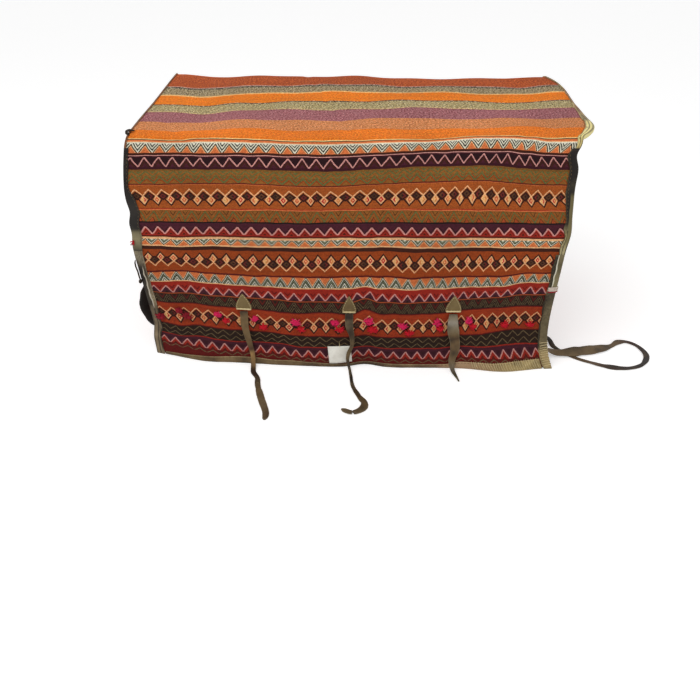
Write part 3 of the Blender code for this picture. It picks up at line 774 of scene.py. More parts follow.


# base colour or runs of colour by metres, worn edges, deep grain; marks: start, end, outer and inner side, colour. Some
# runs and marks are painted light: painted shadow at a thong's root, painted shade lines and a painted highlight along
# the front strips.
hides = {
    "brownHide": {"base": (104, 84, 54), "worn": (170, 148, 106), "deep": (46, 34, 22), "wear": 0.75},
    "patchHide": {"base": (112, 94, 58), "worn": (158, 138, 96), "deep": (60, 44, 26), "wear": 0.6},
    "paleHide": {"base": (206, 188, 142), "worn": (232, 218, 180), "deep": (140, 116, 74), "wear": 0.6},
    "darkHide": {"base": (44, 35, 27), "worn": (120, 106, 82), "deep": (18, 13, 10), "wear": 0.45},
    "blackHide": {"base": (30, 24, 20), "worn": (74, 62, 50), "deep": (10, 8, 7), "wear": 0.35},
    "leftThong": {
        "worn": (146, 128, 96), "deep": (40, 29, 20), "wear": 0.6,
        "runs": [
            # the dark first 1.4 cm is painted shadow under the patch hem
            (0.0, (62, 48, 32)), (0.014, (118, 96, 62)), (0.085, (104, 82, 52)), (0.105, (76, 52, 34)),
            (0.115, (158, 124, 74)), (0.145, (130, 98, 58)), (0.165, (58, 42, 32)), (0.220, (50, 38, 28)),
            (0.250, (104, 86, 60)), (0.370, (76, 60, 42)), (0.392, (28, 20, 15))
        ]
    },
    "middleThong": {
        "worn": (152, 134, 100), "deep": (36, 26, 18), "wear": 0.6,
        "runs": [
            # the dark first 1 to 2 cm is painted shadow under the patch hem
            (0.0, (52, 40, 28)), (0.012, (44, 34, 24)), (0.022, (124, 108, 80)), (0.055, (74, 58, 38)),
            (0.085, (118, 98, 66)), (0.115, (112, 92, 60)), (0.140, (40, 30, 22)), (0.190, (34, 26, 20)),
            (0.235, (60, 48, 34)), (0.270, (104, 84, 54)), (0.320, (88, 74, 52))
        ]
    },
    "rightThong": {
        "worn": (164, 152, 128), "deep": (48, 36, 24), "wear": 0.5,
        "runs": [
            # the dark first centimetre is painted shadow under the patch hem
            (0.0, (70, 58, 42)), (0.010, (124, 112, 90)), (0.022, (148, 140, 126)), (0.036, (118, 106, 84)),
            (0.056, (104, 84, 54)), (0.066, (70, 50, 30)), (0.076, (116, 92, 60)), (0.125, (104, 84, 56)),
            (0.150, (56, 44, 32)), (0.180, (78, 72, 48))
        ]
    },
    "backThong": {"base": (100, 82, 56), "worn": (146, 126, 92), "deep": (44, 33, 24), "wear": 0.7},
    "loopHide": {
        "worn": (120, 102, 74), "deep": (24, 18, 14), "wear": 0.5,
        "runs": [
            (0.0, (32, 25, 19)), (0.110, (34, 26, 20)), (0.150, (88, 70, 48)), (0.230, (80, 60, 42)),
            (0.290, (44, 34, 26)), (0.370, (34, 27, 21)), (0.420, (40, 30, 22)), (0.470, (58, 34, 24)),
            (0.505, (96, 78, 54)), (0.640, (104, 86, 60))
        ]
    },
    "rightLowHide": {
        "worn": (180, 164, 122), "deep": (44, 34, 22), "wear": 0.40,
        "runs": [
            (0.0, (182, 160, 112)), (0.050, (164, 140, 94)), (0.062, (90, 78, 52)), (0.120, (84, 72, 48)),
            (0.200, (50, 42, 30)), (0.212, (40, 32, 22)), (0.228, (118, 108, 78)), (0.290, (112, 102, 72))
        ],
        "marksAndPaintedLight": [
            # the first mark is a painted shadow line along the inner edge; the next two are a painted shade line and a
            # painted highlight beside it
            (0.055, 0.210, 0.84, 1.50, (30, 22, 15)), (0.215, 0.312, 0.62, 1.50, (22, 17, 13)),
            (0.215, 0.312, 0.50, 0.62, (222, 216, 194))
        ]
    },
    "rightHighHide": {
        "worn": (120, 112, 82), "deep": (14, 10, 8), "wear": 0.4,
        "runs": [
            (0.0, (176, 164, 122)), (0.050, (150, 138, 96)), (0.075, (44, 40, 28)), (0.120, (26, 22, 18)),
            (0.246, (30, 20, 16))
        ],
        "linesEnd": 0.06, "marksAndPaintedLight": [(0.020, 0.150, -0.2, 0.50, (112, 102, 66))]
    },
    "leftLowHide": {
        "worn": (190, 176, 146), "deep": (44, 34, 24), "wear": 0.6,
        "runs": [
            (0.0, (136, 118, 90)), (0.110, (126, 108, 82)), (0.200, (118, 104, 80)), (0.235, (60, 50, 38)),
            (0.270, (48, 40, 30)), (0.296, (96, 88, 66))
        ],
        "linesStart": 0.0,
        "marksAndPaintedLight": [
            # the first mark is a painted shadow line along the inner edge
            (0.010, 0.150, 0.84, 1.50, (34, 25, 18)), (0.140, 0.262, -0.2, 0.46, (20, 16, 13)),
            (0.140, 0.262, 0.46, 0.60, (196, 186, 166))
        ]
    },
    "leftHighHide": {
        "worn": (86, 80, 70), "deep": (10, 8, 7), "wear": 0.4,
        "runs": [
            (0.0, (70, 62, 46)), (0.030, (150, 140, 106)), (0.046, (128, 118, 88)), (0.056, (34, 30, 26)),
            (0.130, (40, 36, 32)), (0.160, (24, 18, 15))
        ]
    },
    "leftBaseHide": {"base": (132, 84, 54), "worn": (182, 128, 84), "deep": (64, 36, 24), "wear": 0.6},
    "rightBaseHide": {
        "worn": (244, 232, 170), "deep": (74, 58, 34), "wear": 0.6,
        "runs": [
            (0.0, (196, 174, 110)), (0.030, (242, 228, 152)), (0.130, (236, 220, 146)), (0.190, (150, 124, 78)),
            (0.280, (134, 80, 48))
        ],
        "linesEnd": 0.20
    },
    "frontRimHide": {
        "worn": (186, 162, 118), "deep": (44, 33, 22), "wear": 0.55,
        "runs": [
            (0.0, (104, 86, 58)), (0.150, (112, 90, 60)), (0.340, (100, 80, 52)), (0.440, (62, 46, 31)),
            (0.600, (78, 60, 42)), (0.700, (120, 94, 70)), (0.740, (172, 138, 108)), (0.830, (160, 130, 96)),
            (0.880, (170, 148, 98)), (0.948, (180, 158, 106))
        ]
    },
}


markFade = 0.012


def makeHide(name):
    look = hides[name]
    material, tree, shader = newMaterial(name, 0.6)
    uv = addNode(tree, "ShaderNodeUVMap", uv_map="strip")
    parts = addNode(tree, "ShaderNodeSeparateXYZ")
    tree.links.new(uv.outputs[0], parts.inputs[0])
    place = addNode(tree, "ShaderNodeTexCoord").outputs["Object"]
    along, side = parts.outputs[0], parts.outputs[1]
    worn, deep = srgb(*look["worn"]), srgb(*look["deep"])
    if "runs" in look:
        base = ramp(tree, along, [(metres, srgb(*colour)) for metres, colour in look["runs"]], True)
    else:
        base = srgb(*look["base"])
    if "linesStart" in look or "linesEnd" in look:  # dark lines along the strip
        if "linesStart" in look:
            shown = calc(tree, "GREATER_THAN", along, look["linesStart"])
        else:
            shown = calc(tree, "LESS_THAN", along, look["linesEnd"])
        uneven = calc(tree, "ADD", side, wobble(tree, place, 30.0, 0.16))
        dark = calc(tree, "GREATER_THAN", calc(tree, "SINE", calc(tree, "MULTIPLY", uneven, 14.0)), 0.45)
        base = blendColour(tree, calc(tree, "MULTIPLY", calc(tree, "MULTIPLY", shown, dark), 0.8), base, deep)
    skin = useGroup(tree, hideSurface, Place=place, Side=side, Wear=look["wear"], Base=base, Worn=worn, Deep=deep)
    colour = skin["Colour"]
    # each mark lays a colour over a span of the strip: some are the leather's own colour, some are painted shadow lines
    # and painted highlights
    for start, end, outer, inner, tone in look.get("marksAndPaintedLight", []):
        begun = rescale(tree, along, start, start + markFade, 0.0, 1.0)
        shown = calc(tree, "MULTIPLY", begun, rescale(tree, along, end - markFade, end, 1.0, 0.0))
        across = calc(tree, "ADD", side, wobble(tree, place, 45.0, 0.30))
        shown = calc(tree, "MULTIPLY", shown, calc(tree, "GREATER_THAN", across, outer))
        shown = calc(tree, "MULTIPLY", shown, calc(tree, "LESS_THAN", across, inner))
        colour = blendColour(tree, calc(tree, "MULTIPLY", shown, 0.85), colour, srgb(*tone))
    tree.links.new(colour, shader.inputs["Base Color"])
    tree.links.new(skin["Roughness"], shader.inputs["Roughness"])
    putBump(tree, shader, skin["Height"], 0.0005, 0.7)
    return material


mainWeave = makeMainWeave()
endWeave = makeEndWeave()
hide = {name: makeHide(name) for name in hides}
print("materials made")


# Mesh helpers
def addPiece(name, points, faces, material, body, slot, uvName, uvs):
    mesh = bpy.data.meshes.new(name)
    mesh.from_pydata([tuple(p) for p in points], [], faces)
    layer = mesh.uv_layers.new(name=uvName)
    corners = np.array([uvs[i] for face in faces for i in face]) if len(uvs) == len(points) else np.array(uvs)
    layer.data.foreach_set("uv", corners.ravel())
    mesh.materials.append(material)
    mesh.polygons.foreach_set("use_smooth", [True] * len(mesh.polygons))
    mesh.update()
    piece = bpy.data.objects.new(name, mesh)
    bpy.context.scene.collection.objects.link(piece)
    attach(piece, body)
    return piece


def gridFaces(rows, columns, flip=False):
    faces = []
    for row in range(rows - 1):
        for column in range(columns - 1):
            first = row * columns + column
            face = (first, first + 1, first + columns + 1, first + columns)
            faces.append(face[::-1] if flip else face)
    return faces


def addThickness(piece, thickness, offset=-1.0):
    solid = piece.modifiers.new("clothThickness", "SOLIDIFY")
    solid.thickness = thickness
    solid.offset = offset


def sweepPiece(name, rings, shares, material, body, slot):
    # rings of equally many points, bridged and capped; shares say how far across the strip each point lies
    rings = [np.asarray(ring) for ring in rings]
    count = len(rings[0])
    points = np.concatenate(rings)
    middles = np.array([ring.mean(axis=0) for ring in rings])
    along = np.concatenate([[0.0], np.cumsum(np.linalg.norm(np.diff(middles, axis=0), axis=1))])
    faces, uvs = [], []
    for row in range(len(rings) - 1):
        for column in range(count):
            after = (column + 1) % count
            faces.append(
                (row * count + column, row * count + after, (row + 1) * count + after, (row + 1) * count + column)
            )
            near, far = shares[column], shares[column + 1]
            uvs += [(along[row], near), (along[row], far), (along[row + 1], far), (along[row + 1], near)]
    faces.append(tuple(range(count - 1, -1, -1)))
    uvs += [(along[0], shares[i]) for i in range(count - 1, -1, -1)]
    last = (len(rings) - 1) * count
    faces.append(tuple(range(last, last + count)))
    uvs += [(along[-1], shares[i]) for i in range(count)]
    piece = addPiece(name, points, faces, material, body, slot, "strip", uvs)
    turnOut(piece)
    return piece


def turnOut(piece):  # faces outward all round
    build = bmesh.new()
    build.from_mesh(piece.data)
    bmesh.ops.recalc_face_normals(build, faces=build.faces)
    build.to_mesh(piece.data)
    build.free()


def smoothRoute(points, step):  # stations on a smooth curve through the chosen points
    points = [np.array(p, dtype=float) for p in points]
    padded = [points[0]] + points + [points[-1]]
    stations = []
    for before, start, end, after in zip(padded, padded[1:], padded[2:], padded[3:]):
        count = max(1, round(float(np.linalg.norm(end[:3] - start[:3])) / step))
        for index in range(count):
            t = index / count
            rise = (end - before) * t + (2 * before - 5 * start + 4 * end - after) * t * t
            stations.append(0.5 * (2 * start + rise + (3 * start - before - 3 * end + after) * t ** 3))
    stations.append(points[-1])
    return np.array(stations)


def ripple(seed, count, step, scale):  # a smooth random run of numbers from -1 to 1
    dice = random.Random(seed)
    knots = [dice.uniform(-1.0, 1.0) for _ in range(int(count * step / scale) + 4)]
    values = []
    for index in range(count):
        place = index * step / scale
        low = int(place)
        t = ease(place - low)
        values.append(knots[low] * (1 - t) + knots[low + 1] * t)
    return np.array(values)


# Ties and loop
tieShape = {"thick": 0.0030, "rest": 0.0019, "rootWidth": 0.020, "step": 0.0045, "hem": 0.150, "patchWidth": 0.042}
leatherShare = 0.9  # a strap's visible thickness, as a share of the solid one
lowest = 0.0002
patchCentres = {"left": -0.2645, "middle": -0.0105, "right": 0.2505}
frontRoutes = {  # sideways, away from the wall, height, width
    "left": [
        (0.000, 0.0035, 0.112, 0.018), (0.004, 0.0045, 0.084, 0.017), (0.010, 0.0055, 0.056, 0.014),
        (0.015, 0.0075, 0.030, 0.012), (0.0165, 0.0200, 0.0070, 0.012), (0.0190, 0.0440, 0.0, 0.0145),
        (0.031, 0.070, 0.0, 0.013), (0.036, 0.105, 0.0, 0.014), (0.050, 0.160, 0.0, 0.017),
        (0.065, 0.212, 0.0, 0.017), (0.064, 0.240, 0.0, 0.011)
    ],
    "middle": [
        (0.0005, 0.0035, 0.114, 0.019), (0.006, 0.0045, 0.092, 0.015), (0.007, 0.0055, 0.066, 0.010),
        (-0.001, 0.0065, 0.044, 0.010), (-0.004, 0.0085, 0.026, 0.008), (0.001, 0.0200, 0.0060, 0.007),
        (0.004, 0.0420, 0.0, 0.008), (0.009, 0.088, 0.0, 0.010), (0.023, 0.128, 0.0, 0.013),
        (0.036, 0.156, 0.0, 0.018), (0.030, 0.180, 0.0, 0.019), (0.006, 0.193, 0.0, 0.018),
        (-0.018, 0.180, 0.0, 0.012)
    ],
    "right": [
        (0.0005, 0.0035, 0.116, 0.027), (0.004, 0.0045, 0.094, 0.027), (0.008, 0.0065, 0.072, 0.026),
        (0.008, 0.0070, 0.050, 0.023), (0.003, 0.0085, 0.028, 0.018), (0.004, 0.0190, 0.0080, 0.012),
        (0.010, 0.0380, 0.0, 0.008), (0.015, 0.062, 0.0, 0.004)
    ],
}
backRoute = [
    (0.0, 0.0035, 0.112, 0.020), (0.002, 0.0045, 0.084, 0.019), (0.004, 0.0055, 0.056, 0.017),
    (0.005, 0.0080, 0.030, 0.015), (0.006, 0.0210, 0.0070, 0.014), (0.008, 0.0440, 0.0, 0.015),
    (0.014, 0.090, 0.0, 0.016), (0.022, 0.140, 0.0, 0.015), (0.024, 0.170, 0.0, 0.009)
]


def wallSpot(x, out, height, away=0.0):  # a place on the unwaved wall
    spot = settle(np.array(x), np.array(out * halfDepth), np.array(height))
    return np.array([spot[0], spot[1] + out * away, height])


strapSection = [
    (-1.0, 0.0), (-0.86, -0.8), (-0.45, -1.0), (0.0, -1.0), (0.45, -1.0), (0.86, -0.8),
    (1.0, 0.0), (0.86, 0.8), (0.45, 1.0), (0.0, 1.0), (-0.45, 1.0), (-0.86, 0.8),
]
strapShares = [0.0, 0.1, 0.3, 0.5, 0.7, 0.9, 1.0, 0.9, 0.7, 0.5, 0.3, 0.1, 0.0]
strapWear = {"uneven": 0.09, "leanDegrees": 7.0, "flatRings": 5, "endTaper": 0.010, "thinnest": 0.0021}


def strapRings(stations, thick, wideOf, seed, curl=0.0009):
    spots = stations[:, :3]
    count = len(spots)
    step = tieShape["step"]
    widthNoise = ripple(seed, count, step, 0.016)
    bend = ripple(seed + 1, count, step, 0.030)
    lean = ripple(seed + 2, count, step, 0.024)
    rings = []
    for index in range(count):
        along = spots[min(index + 1, count - 1)] - spots[max(index - 1, 0)]
        along = along / np.linalg.norm(along)
        wide = wideOf(along)
        wide = wide - along * np.dot(wide, along)
        wide = wide / np.linalg.norm(wide)
        thin = np.cross(along, wide)
        loose = min(1.0, index / strapWear["flatRings"])  # the root lies flat under its patch
        angle = math.radians(stations[index][4] + strapWear["leanDegrees"] * lean[index] * loose)
        turned = wide * math.cos(angle) + thin * math.sin(angle)
        thin = thin * math.cos(angle) - wide * math.sin(angle)
        half = stations[index][3] / 2 * (1.0 + strapWear["uneven"] * widthNoise[index])
        end = min(index, count - 1 - index) * step
        taper = 1.0 if index < count / 2 else min(1.0, 0.25 + end / strapWear["endTaper"])
        half = max(half * taper, strapWear["thinnest"])
        deep = thick / 2 * (0.85 + 0.15 * taper)
        bow = curl * bend[index] * loose
        rings.append(
            [spots[index] + turned * (half * a) + thin * (deep * b + bow * (2 * a * a - 1.0)) for a, b in strapSection]
        )
    return rings


def onFloor(rings):  # nothing goes below the floor
    rings = [np.array(ring) for ring in rings]
    for ring in rings:
        ring[:, 2] = np.maximum(ring[:, 2], lowest)
    return rings


def makeTie(side, name, out, route, mirror, seed):
    centre = patchCentres[name]
    half = tieShape["patchWidth"] / 2
    across = wallSpot(centre + half, out, tieShape["hem"]) - wallSpot(centre - half, out, tieShape["hem"])
    across = across / np.linalg.norm(across)
    outward = np.array([-across[1], across[0], 0.0]) * out
    stand = gap + tieShape["thick"] / 2
    root = wallSpot(centre, out, tieShape["hem"] - stand) + outward * stand
    foot = wallSpot(centre, out, 0.0)
    points = [(*root, tieShape["rootWidth"], 0.0)]
    for sideways, away, height, width in route:
        x = root[0] + mirror * sideways
        if height > 0.0:
            spot = wallSpot(x, out, height, away)
            points.append((x, spot[1], height, width, 0.0))
        else:
            points.append((x, foot[1] + out * away, tieShape["rest"], width, 0.0))
    stations = smoothRoute(points, tieShape["step"])
    stations[:, 2] = np.maximum(stations[:, 2], tieShape["rest"])
    rings = onFloor(strapRings(stations, tieShape["thick"] * leatherShare, lambda along: across, seed))
    look = f"{name}Thong" if side == "front" else "backThong"
    tie = sweepPiece(
        f"{side}{name.title()}Thong", rings, strapShares, hide[look], f"{side}_{name}_strap", "brown_leather"
    )
    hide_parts(f"{side}_{name}_tie")


for number, name in enumerate(patchCentres):
    makeTie("front", name, -1.0, frontRoutes[name], 1.0, 11 + number)
    makeTie("back", name, 1.0, backRoute, 1.0 if name == "left" else -1.0, 31 + number)

loopShape = {
    "thick": 0.0032, "rest": 0.0020, "rootWidth": 0.018, "hem": 0.052, "centre": -0.222, "spread": 0.068,
    "seat": 0.0004, "stand": 0.0007, "reach": 0.017, "drop": 0.62, "cord": 0.019,
}
loopRoute = [  # x, y, lift over the strand below, width, tilt in degrees
    (0.5105, -0.210, 0.010, 0.014, 0.0), (0.5205, -0.236, 0.000, 0.013, 0.0), (0.5365, -0.262, 0.000, 0.012, 0.0),
    (0.5585, -0.287, 0.000, 0.011, 0.0),
    (0.5865, -0.308, 0.000, 0.011, 0.0), (0.6185, -0.325, 0.000, 0.016, 0.0), (0.6515, -0.338, 0.000, 0.018, 0.0),
    (0.6865, -0.341, 0.000, 0.014, 0.0),
    (0.7205, -0.328, 0.000, 0.012, 0.0), (0.7435, -0.300, 0.000, 0.015, 0.0), (0.7505, -0.268, 0.000, 0.014, 0.0),
    (0.7405, -0.234, 0.000, 0.011, 0.0),
    (0.7185, -0.214, 0.000, 0.012, 0.0), (0.6945, -0.218, 0.001, 0.017, -14.0),
    (0.6725, -0.236, 0.001, 0.012, -10.0), (0.6445, -0.252, 0.0045, 0.022, -22.0),
    (0.6125, -0.265, 0.0076, 0.025, -27.0), (0.5805, -0.274, 0.0092, 0.026, -29.0),
    (0.5485, -0.279, 0.0090, 0.025, -28.0), (0.5205, -0.279, 0.0080, 0.022, -20.0),
    (0.4985, -0.278, 0.014, 0.020, -8.0),
]


def loopRoot(spreadSign):
    height = loopShape["hem"] - loopShape["seat"] - loopShape["thick"] / 2
    y = loopShape["centre"] + spreadSign * loopShape["spread"] / 2
    wall = settle(np.array(endFace), np.array(y), np.array(height))
    return wall + np.array([loopShape["stand"] + loopShape["thick"] / 2, 0.0, 0.0])


def makeLoop():
    rest = loopShape["rest"]
    first, last = loopRoot(1.0), loopRoot(-1.0)
    width = loopShape["rootWidth"]
    out, back = [(end[0] + loopShape["reach"], end[1], end[2] * loopShape["drop"], width, 0.0) for end in (first, last)]
    points = [(*first, width, 0.0), out]
    points += [(x, y, rest + lift, wide, tilt) for x, y, lift, wide, tilt in loopRoute]
    points += [back, (*last, width, 0.0)]
    stations = smoothRoute(points, tieShape["step"])
    stations[:, 2] = np.maximum(stations[:, 2], rest)
    up = np.array([0.0, 0.0, 1.0])
    rings = strapRings(stations, loopShape["thick"] * leatherShare, lambda along: np.cross(along, up), 51)
    loop = sweepPiece("rightEndLoopStrap", onFloor(rings), strapShares, hide["loopHide"], "end_loop", "dark_leather")
    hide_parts("right_end_loop")
    tuple(first)


makeLoop()
print("ties and loop laid")


# The bag
wander = [  # where the woven lines sag or rise: place across and along the cloth, spread of each, how far
    (-0.29, 0.470, 0.10, 0.025, -0.0024), (0.14, 0.500, 0.05, 0.060, -0.0040), (0.365, 0.570, 0.05, 0.040, -0.0045),
    (0.39, 0.410, 0.04, 0.030, 0.0030), (-0.40, 0.310, 0.06, 0.040, 0.0030), (0.20, 0.285, 0.09, 0.030, 0.0030),
    (0.085, 0.240, 0.02, 0.080, -0.0027), (-0.39, 0.235, 0.07, 0.040, -0.0058),
    (0.03, 0.155, 0.022, 0.070, -0.0135), (0.33, 0.145, 0.06, 0.035, -0.0060),
    (-0.45, 0.275, 0.04, 0.030, -0.0050), (-0.42, 0.180, 0.06, 0.025, 0.0060),
    (0.14, 0.240, 0.025, 0.050, 0.0037), (0.375, 0.230, 0.03, 0.050, 0.0040), (-0.17, 0.120, 0.05, 0.050, 0.0050),
    (-0.29, 0.120, 0.04, 0.030, -0.0050), (-0.065, 0.135, 0.03, 0.030, -0.0050), (-0.425, 0.085, 0.035, 0.040, 0.0085),
    (0.05, 0.700, 0.16, 0.060, -0.0065), (0.37, 0.660, 0.07, 0.070, -0.0100),
]


def patternShift(x, v):  # how the woven lines wander off the straight
    y = np.clip(v - baseStart - (halfDepth - bag["fold"]), -halfDepth, halfDepth)
    onBase = ease((v - wallTop) / 0.03) * ease((clothLength - wallTop - v) / 0.03)
    dip = 0.046 * np.sin(
        np.pi * np.clip((y + halfDepth) / bag["depth"], 0, 1)
    ) ** 0.8 * ease((-x - 0.27) / 0.11) * onBase
    upper = ease((v - 0.40) / 0.07) * ease((0.64 - v) / 0.08)
    wall = (0.005 * bump(x, -0.08, 0.10) - 0.010 * bump(x, 0.27, 0.09)) * upper
    wall = wall - 0.016 * ease((x - 0.30) / 0.14) * ease((0.33 - v) / 0.12) * ease((v - 0.02) / 0.09)
    wall = wall - 0.010 * ease((-x - 0.30) / 0.12) * ease((0.24 - v) / 0.08)
    wall = wall + 0.008 * ease((x + 0.20) / 0.08) * ease((0.28 - x) / 0.08) * ease((0.26 - v) / 0.10)
    for placeX, placeV, spreadX, spreadV, shift in wander:
        wall = wall + shift * bump(x, placeX, spreadX) * bump(v, placeV, spreadV)
    return dip + wall


crowding = {  # how far the figures move in at a height on the wall
    "heights": [0.04, 0.19, 0.27, 0.355, 0.43, 0.52],
    "left": [0.010, 0.007, 0.012, 0.026, 0.031, 0.018],
    "right": [0.025, 0.032, 0.030, 0.031, 0.058, 0.050],
    "middle": 0.005,
}


def patternSlide(x, v):  # how the figures crowd towards the sides
    wall = np.minimum(v, clothLength - v)
    left = np.interp(wall, crowding["heights"], crowding["left"]) * np.clip((-x - 0.08) / 0.40, 0.0, 1.2)
    right = np.interp(wall, crowding["heights"], crowding["right"]) * np.clip((x - 0.12) / 0.33, 0.0, 1.2) ** 1.3
    return crowding["middle"] - left + right


clothGrid = {"across": 181, "along": 301, "margin": 260}
inLeather = leatherThick + 0.001  # how far a cloth's edge lies inside the fold of its leather


def makeMainCloth():
    edge = halfLength - inLeather
    xs = np.linspace(-edge, edge, clothGrid["across"])
    vs = np.linspace(inLeather, clothLength - inLeather, clothGrid["along"])
    gridX, gridV = np.meshgrid(xs, vs, indexing="ij")
    spots = clothPoint(gridX, gridV).reshape(-1, 3)
    uvs = np.stack([gridX + patternSlide(gridX, gridV), gridV + patternShift(gridX, gridV)], axis=-1).reshape(-1, 2)
    piece = addPiece(
        "wovenBody", spots, gridFaces(len(xs), len(vs), True), mainWeave, "bag", "woven_cloth", "weave", uvs
    )
    if piece.data.polygons[0].normal.y > 0.0:
        piece.data.flip_normals()
    addThickness(piece, clothThick)
    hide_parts("main_cloth")


makeMainCloth()
print("main cloth lofted")


# End panels
endShape = {"rows": 56, "turnRows": 7, "columns": 64, "slack": 0.0022}
endFolds = [(0.0026, 17.0, 9.0), (0.0018, 34.0, -15.0)]  # height, waves across and up


def makeEndPanel(name, side, node):
    off = clothThick + gap
    panelX = halfLength - endInset
    radius = bag["fold"] - off
    lines = [(z, halfDepth - off) for z in np.linspace(inLeather, wallTop, endShape["rows"])]
    for turn in np.linspace(0.0, math.pi / 2, endShape["turnRows"])[1:]:
        lines.append((wallTop + radius * math.sin(turn), halfDepth - bag["fold"] + radius * math.cos(turn)))
    shares = np.linspace(-1.0, 1.0, endShape["columns"])
    points, uvs = [], []
    for z, reach in lines:
        y = shares * reach
        inner = np.clip((1.0 - np.abs(shares)) * 5.0, 0.0, 1.0) * float(
            ease((z - 0.02) / 0.05) * ease((0.56 - z) / 0.06)
        )
        starts = (side, 1.0)
        fold = sum(
            high * np.sin(rate * y + upRate * z + start) for (high, rate, upRate), start in zip(endFolds, starts)
        )
        spot = settle(np.full_like(y, side * panelX), y, np.full_like(y, z))
        spot[:, 0] += side * inner * (fold - endShape["slack"])
        points.append(spot)
        uvs.append(np.stack([y, np.full_like(y, z)], axis=-1))
    faces = gridFaces(len(lines), len(shares), side < 0.0)
    start = len(lines) * len(shares)
    vs = np.linspace(inLeather, clothLength - inLeather, clothGrid["margin"])
    y, z, outY, outZ = profile(vs)
    for reach in (panelX, (panelX + halfLength - inLeather) / 2, halfLength - inLeather):
        points.append(settle(np.full_like(vs, side * reach), y - outY * off, z - outZ * off))
        uvs.append(np.stack([y + (reach - panelX), z], axis=-1))
    band = [tuple(start + i for i in face) for face in gridFaces(3, len(vs), side < 0.0)]
    piece = addPiece(
        name, np.concatenate(points), faces + band, endWeave, "bag", "end_cloth", "weave", np.concatenate(uvs)
    )
    middle = piece.data.polygons[len(faces) // 2]
    if middle.normal.x * side < 0.0:
        piece.data.flip_normals()
    addThickness(piece, endThick, 1.0)
    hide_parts(node)


makeEndPanel("leftEndCloth", -1.0, "left_end_panel")
makeEndPanel("rightEndCloth", 1.0, "right_end_panel")
print("end panels set")


# Leather folded round the seams
def channel(face, innerFace, stack):  # the folded strip's section: back from the fold, out from the cloth
    out = gap + leatherThick
    back = stack + leatherThick
    soft = leatherThick * 0.9
    section = [
        (face, gap), (face + 0.0004, out * 0.6), (face - 0.0006, out * 0.96), (face * 0.55, out),
        (soft * 1.6, out), (soft * 0.45, out - soft * 0.55), (0.0, out - soft * 1.7), (0.0, soft * 1.7 - back),
        (soft * 0.45, soft * 0.55 - back), (soft * 1.6, -back), (innerFace, -back), (innerFace, -stack),
        (leatherThick, -stack), (leatherThick, gap)
    ]
    shares = [1.0, 1.0, 0.97, 0.5, 0.16, 0.08, 0.0, 0.0, 0.08, 0.2, 1.0, 1.0, 0.5, 0.5, 1.0]
    return section, shares


bindings = {
    "Lower": {"start": 0.0, "end": 0.300},
    "Upper": {"start": 0.3006, "end": wallTop},
    "Base": {"start": wallTop + 0.0006, "end": clothLength - wallTop - 0.0006},
}
bindingLooks = {  # face width low down and high up in metres, how ragged its edge is, hide
    ("left", "front", "Lower"): (0.0215, 0.0215, 0.0016, "leftLowHide"),
    ("left", "front", "Upper"): (0.0235, 0.0110, 0.0012, "leftHighHide"),
    ("left", "back", "Lower"): (0.0190, 0.0190, 0.0013, "brownHide"),
    ("left", "back", "Upper"): (0.0190, 0.0190, 0.0013, "brownHide"),
    ("right", "front", "Lower"): (0.0225, 0.0215, 0.0016, "rightLowHide"),
    ("right", "front", "Upper"): (0.0165, 0.0190, 0.0034, "rightHighHide"),
    ("right", "back", "Lower"): (0.0190, 0.0190, 0.0013, "brownHide"),
    ("right", "back", "Upper"): (0.0190, 0.0190, 0.0013, "brownHide"),
    ("left", "base", "Base"): (0.0048, 0.0048, 0.0008, "leftBaseHide"),
    ("right", "base", "Base"): (0.0120, 0.0050, 0.0016, "rightBaseHide"),
}
bindingStep = 0.0045
innerFace = 0.0190
puffHigh = {"binding": 0.00035, "rim": 0.0004}
slotOf = {"brownHide": "brown_leather", "rightBaseHide": "tan_leather"}
# the right base edge bulges out near the front corner
cornerPuff = {"far": 0.015, "place": 0.645, "spread": 0.060, "start": 0.566, "span": 0.03}


# where a strip starts to change its width, and over what length
widening = {"base": (0.760, 0.110), "wall": (0.420, 0.045)}


def bindingFace(key, v):  # a strip's width on the front or the base at a place along the cloth
    low, high = bindingLooks[key][:2]
    onBase = key[1] == "base"
    start, span = widening["base" if onBase else "wall"]
    place = v if onBase else min(v, clothLength - v)
    return low + (high - low) * float(ease((place - start) / span))


def makeEndBinding(sideName, wall, part, seed):
    side = -1.0 if sideName == "left" else 1.0
    key = (sideName, wall, part)
    face, ragged, look = bindingLooks[key][0], bindingLooks[key][2], bindingLooks[key][3]
    span = bindings[part]
    count = int((span["end"] - span["start"]) / bindingStep)
    vs = np.linspace(span["start"], span["end"], count)
    if wall == "back":
        vs = clothLength - vs
    section, shares = channel(face, innerFace, clothThick + endThick + 2 * gap)
    uneven, puff = ripple(seed, count, bindingStep, 0.020), ripple(seed + 1, count, bindingStep, 0.012)
    rings = []
    for v, more, swell in zip(vs, uneven, puff):
        ring = []
        wider = bindingFace(key, v) - face
        outward = 0.0
        if sideName == "right":
            outward = cornerPuff["far"] * bump(v, cornerPuff["place"], cornerPuff["spread"])
            outward *= ease((v - cornerPuff["start"]) / cornerPuff["span"])
        for back, out in section:
            share = min(1.0, back / face)
            if out > -0.001:
                back += wider * share
                if share > 0.9:
                    back += ragged * more
            if out > gap * 1.5:
                out += puffHigh["binding"] * (swell + 0.6) * (1.0 if back > 0.002 else 0.3)
            spot = clothPoint(side * (halfLength - back), v, out)
            spot[0] += outward * (1.0 - 0.55 * share)
            ring.append(spot)
        rings.append(ring)
    name, node = f"{sideName}{wall.title()}{part}Strip", f"{sideName}_{wall}_{part.lower()}_binding"
    if wall == "base":
        name, node = f"{sideName}BaseStrip", f"{sideName}_base_binding"
    piece = sweepPiece(name, rings, shares, hide[look], "bag", slotOf.get(look, "dark_leather"))
    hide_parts(node)


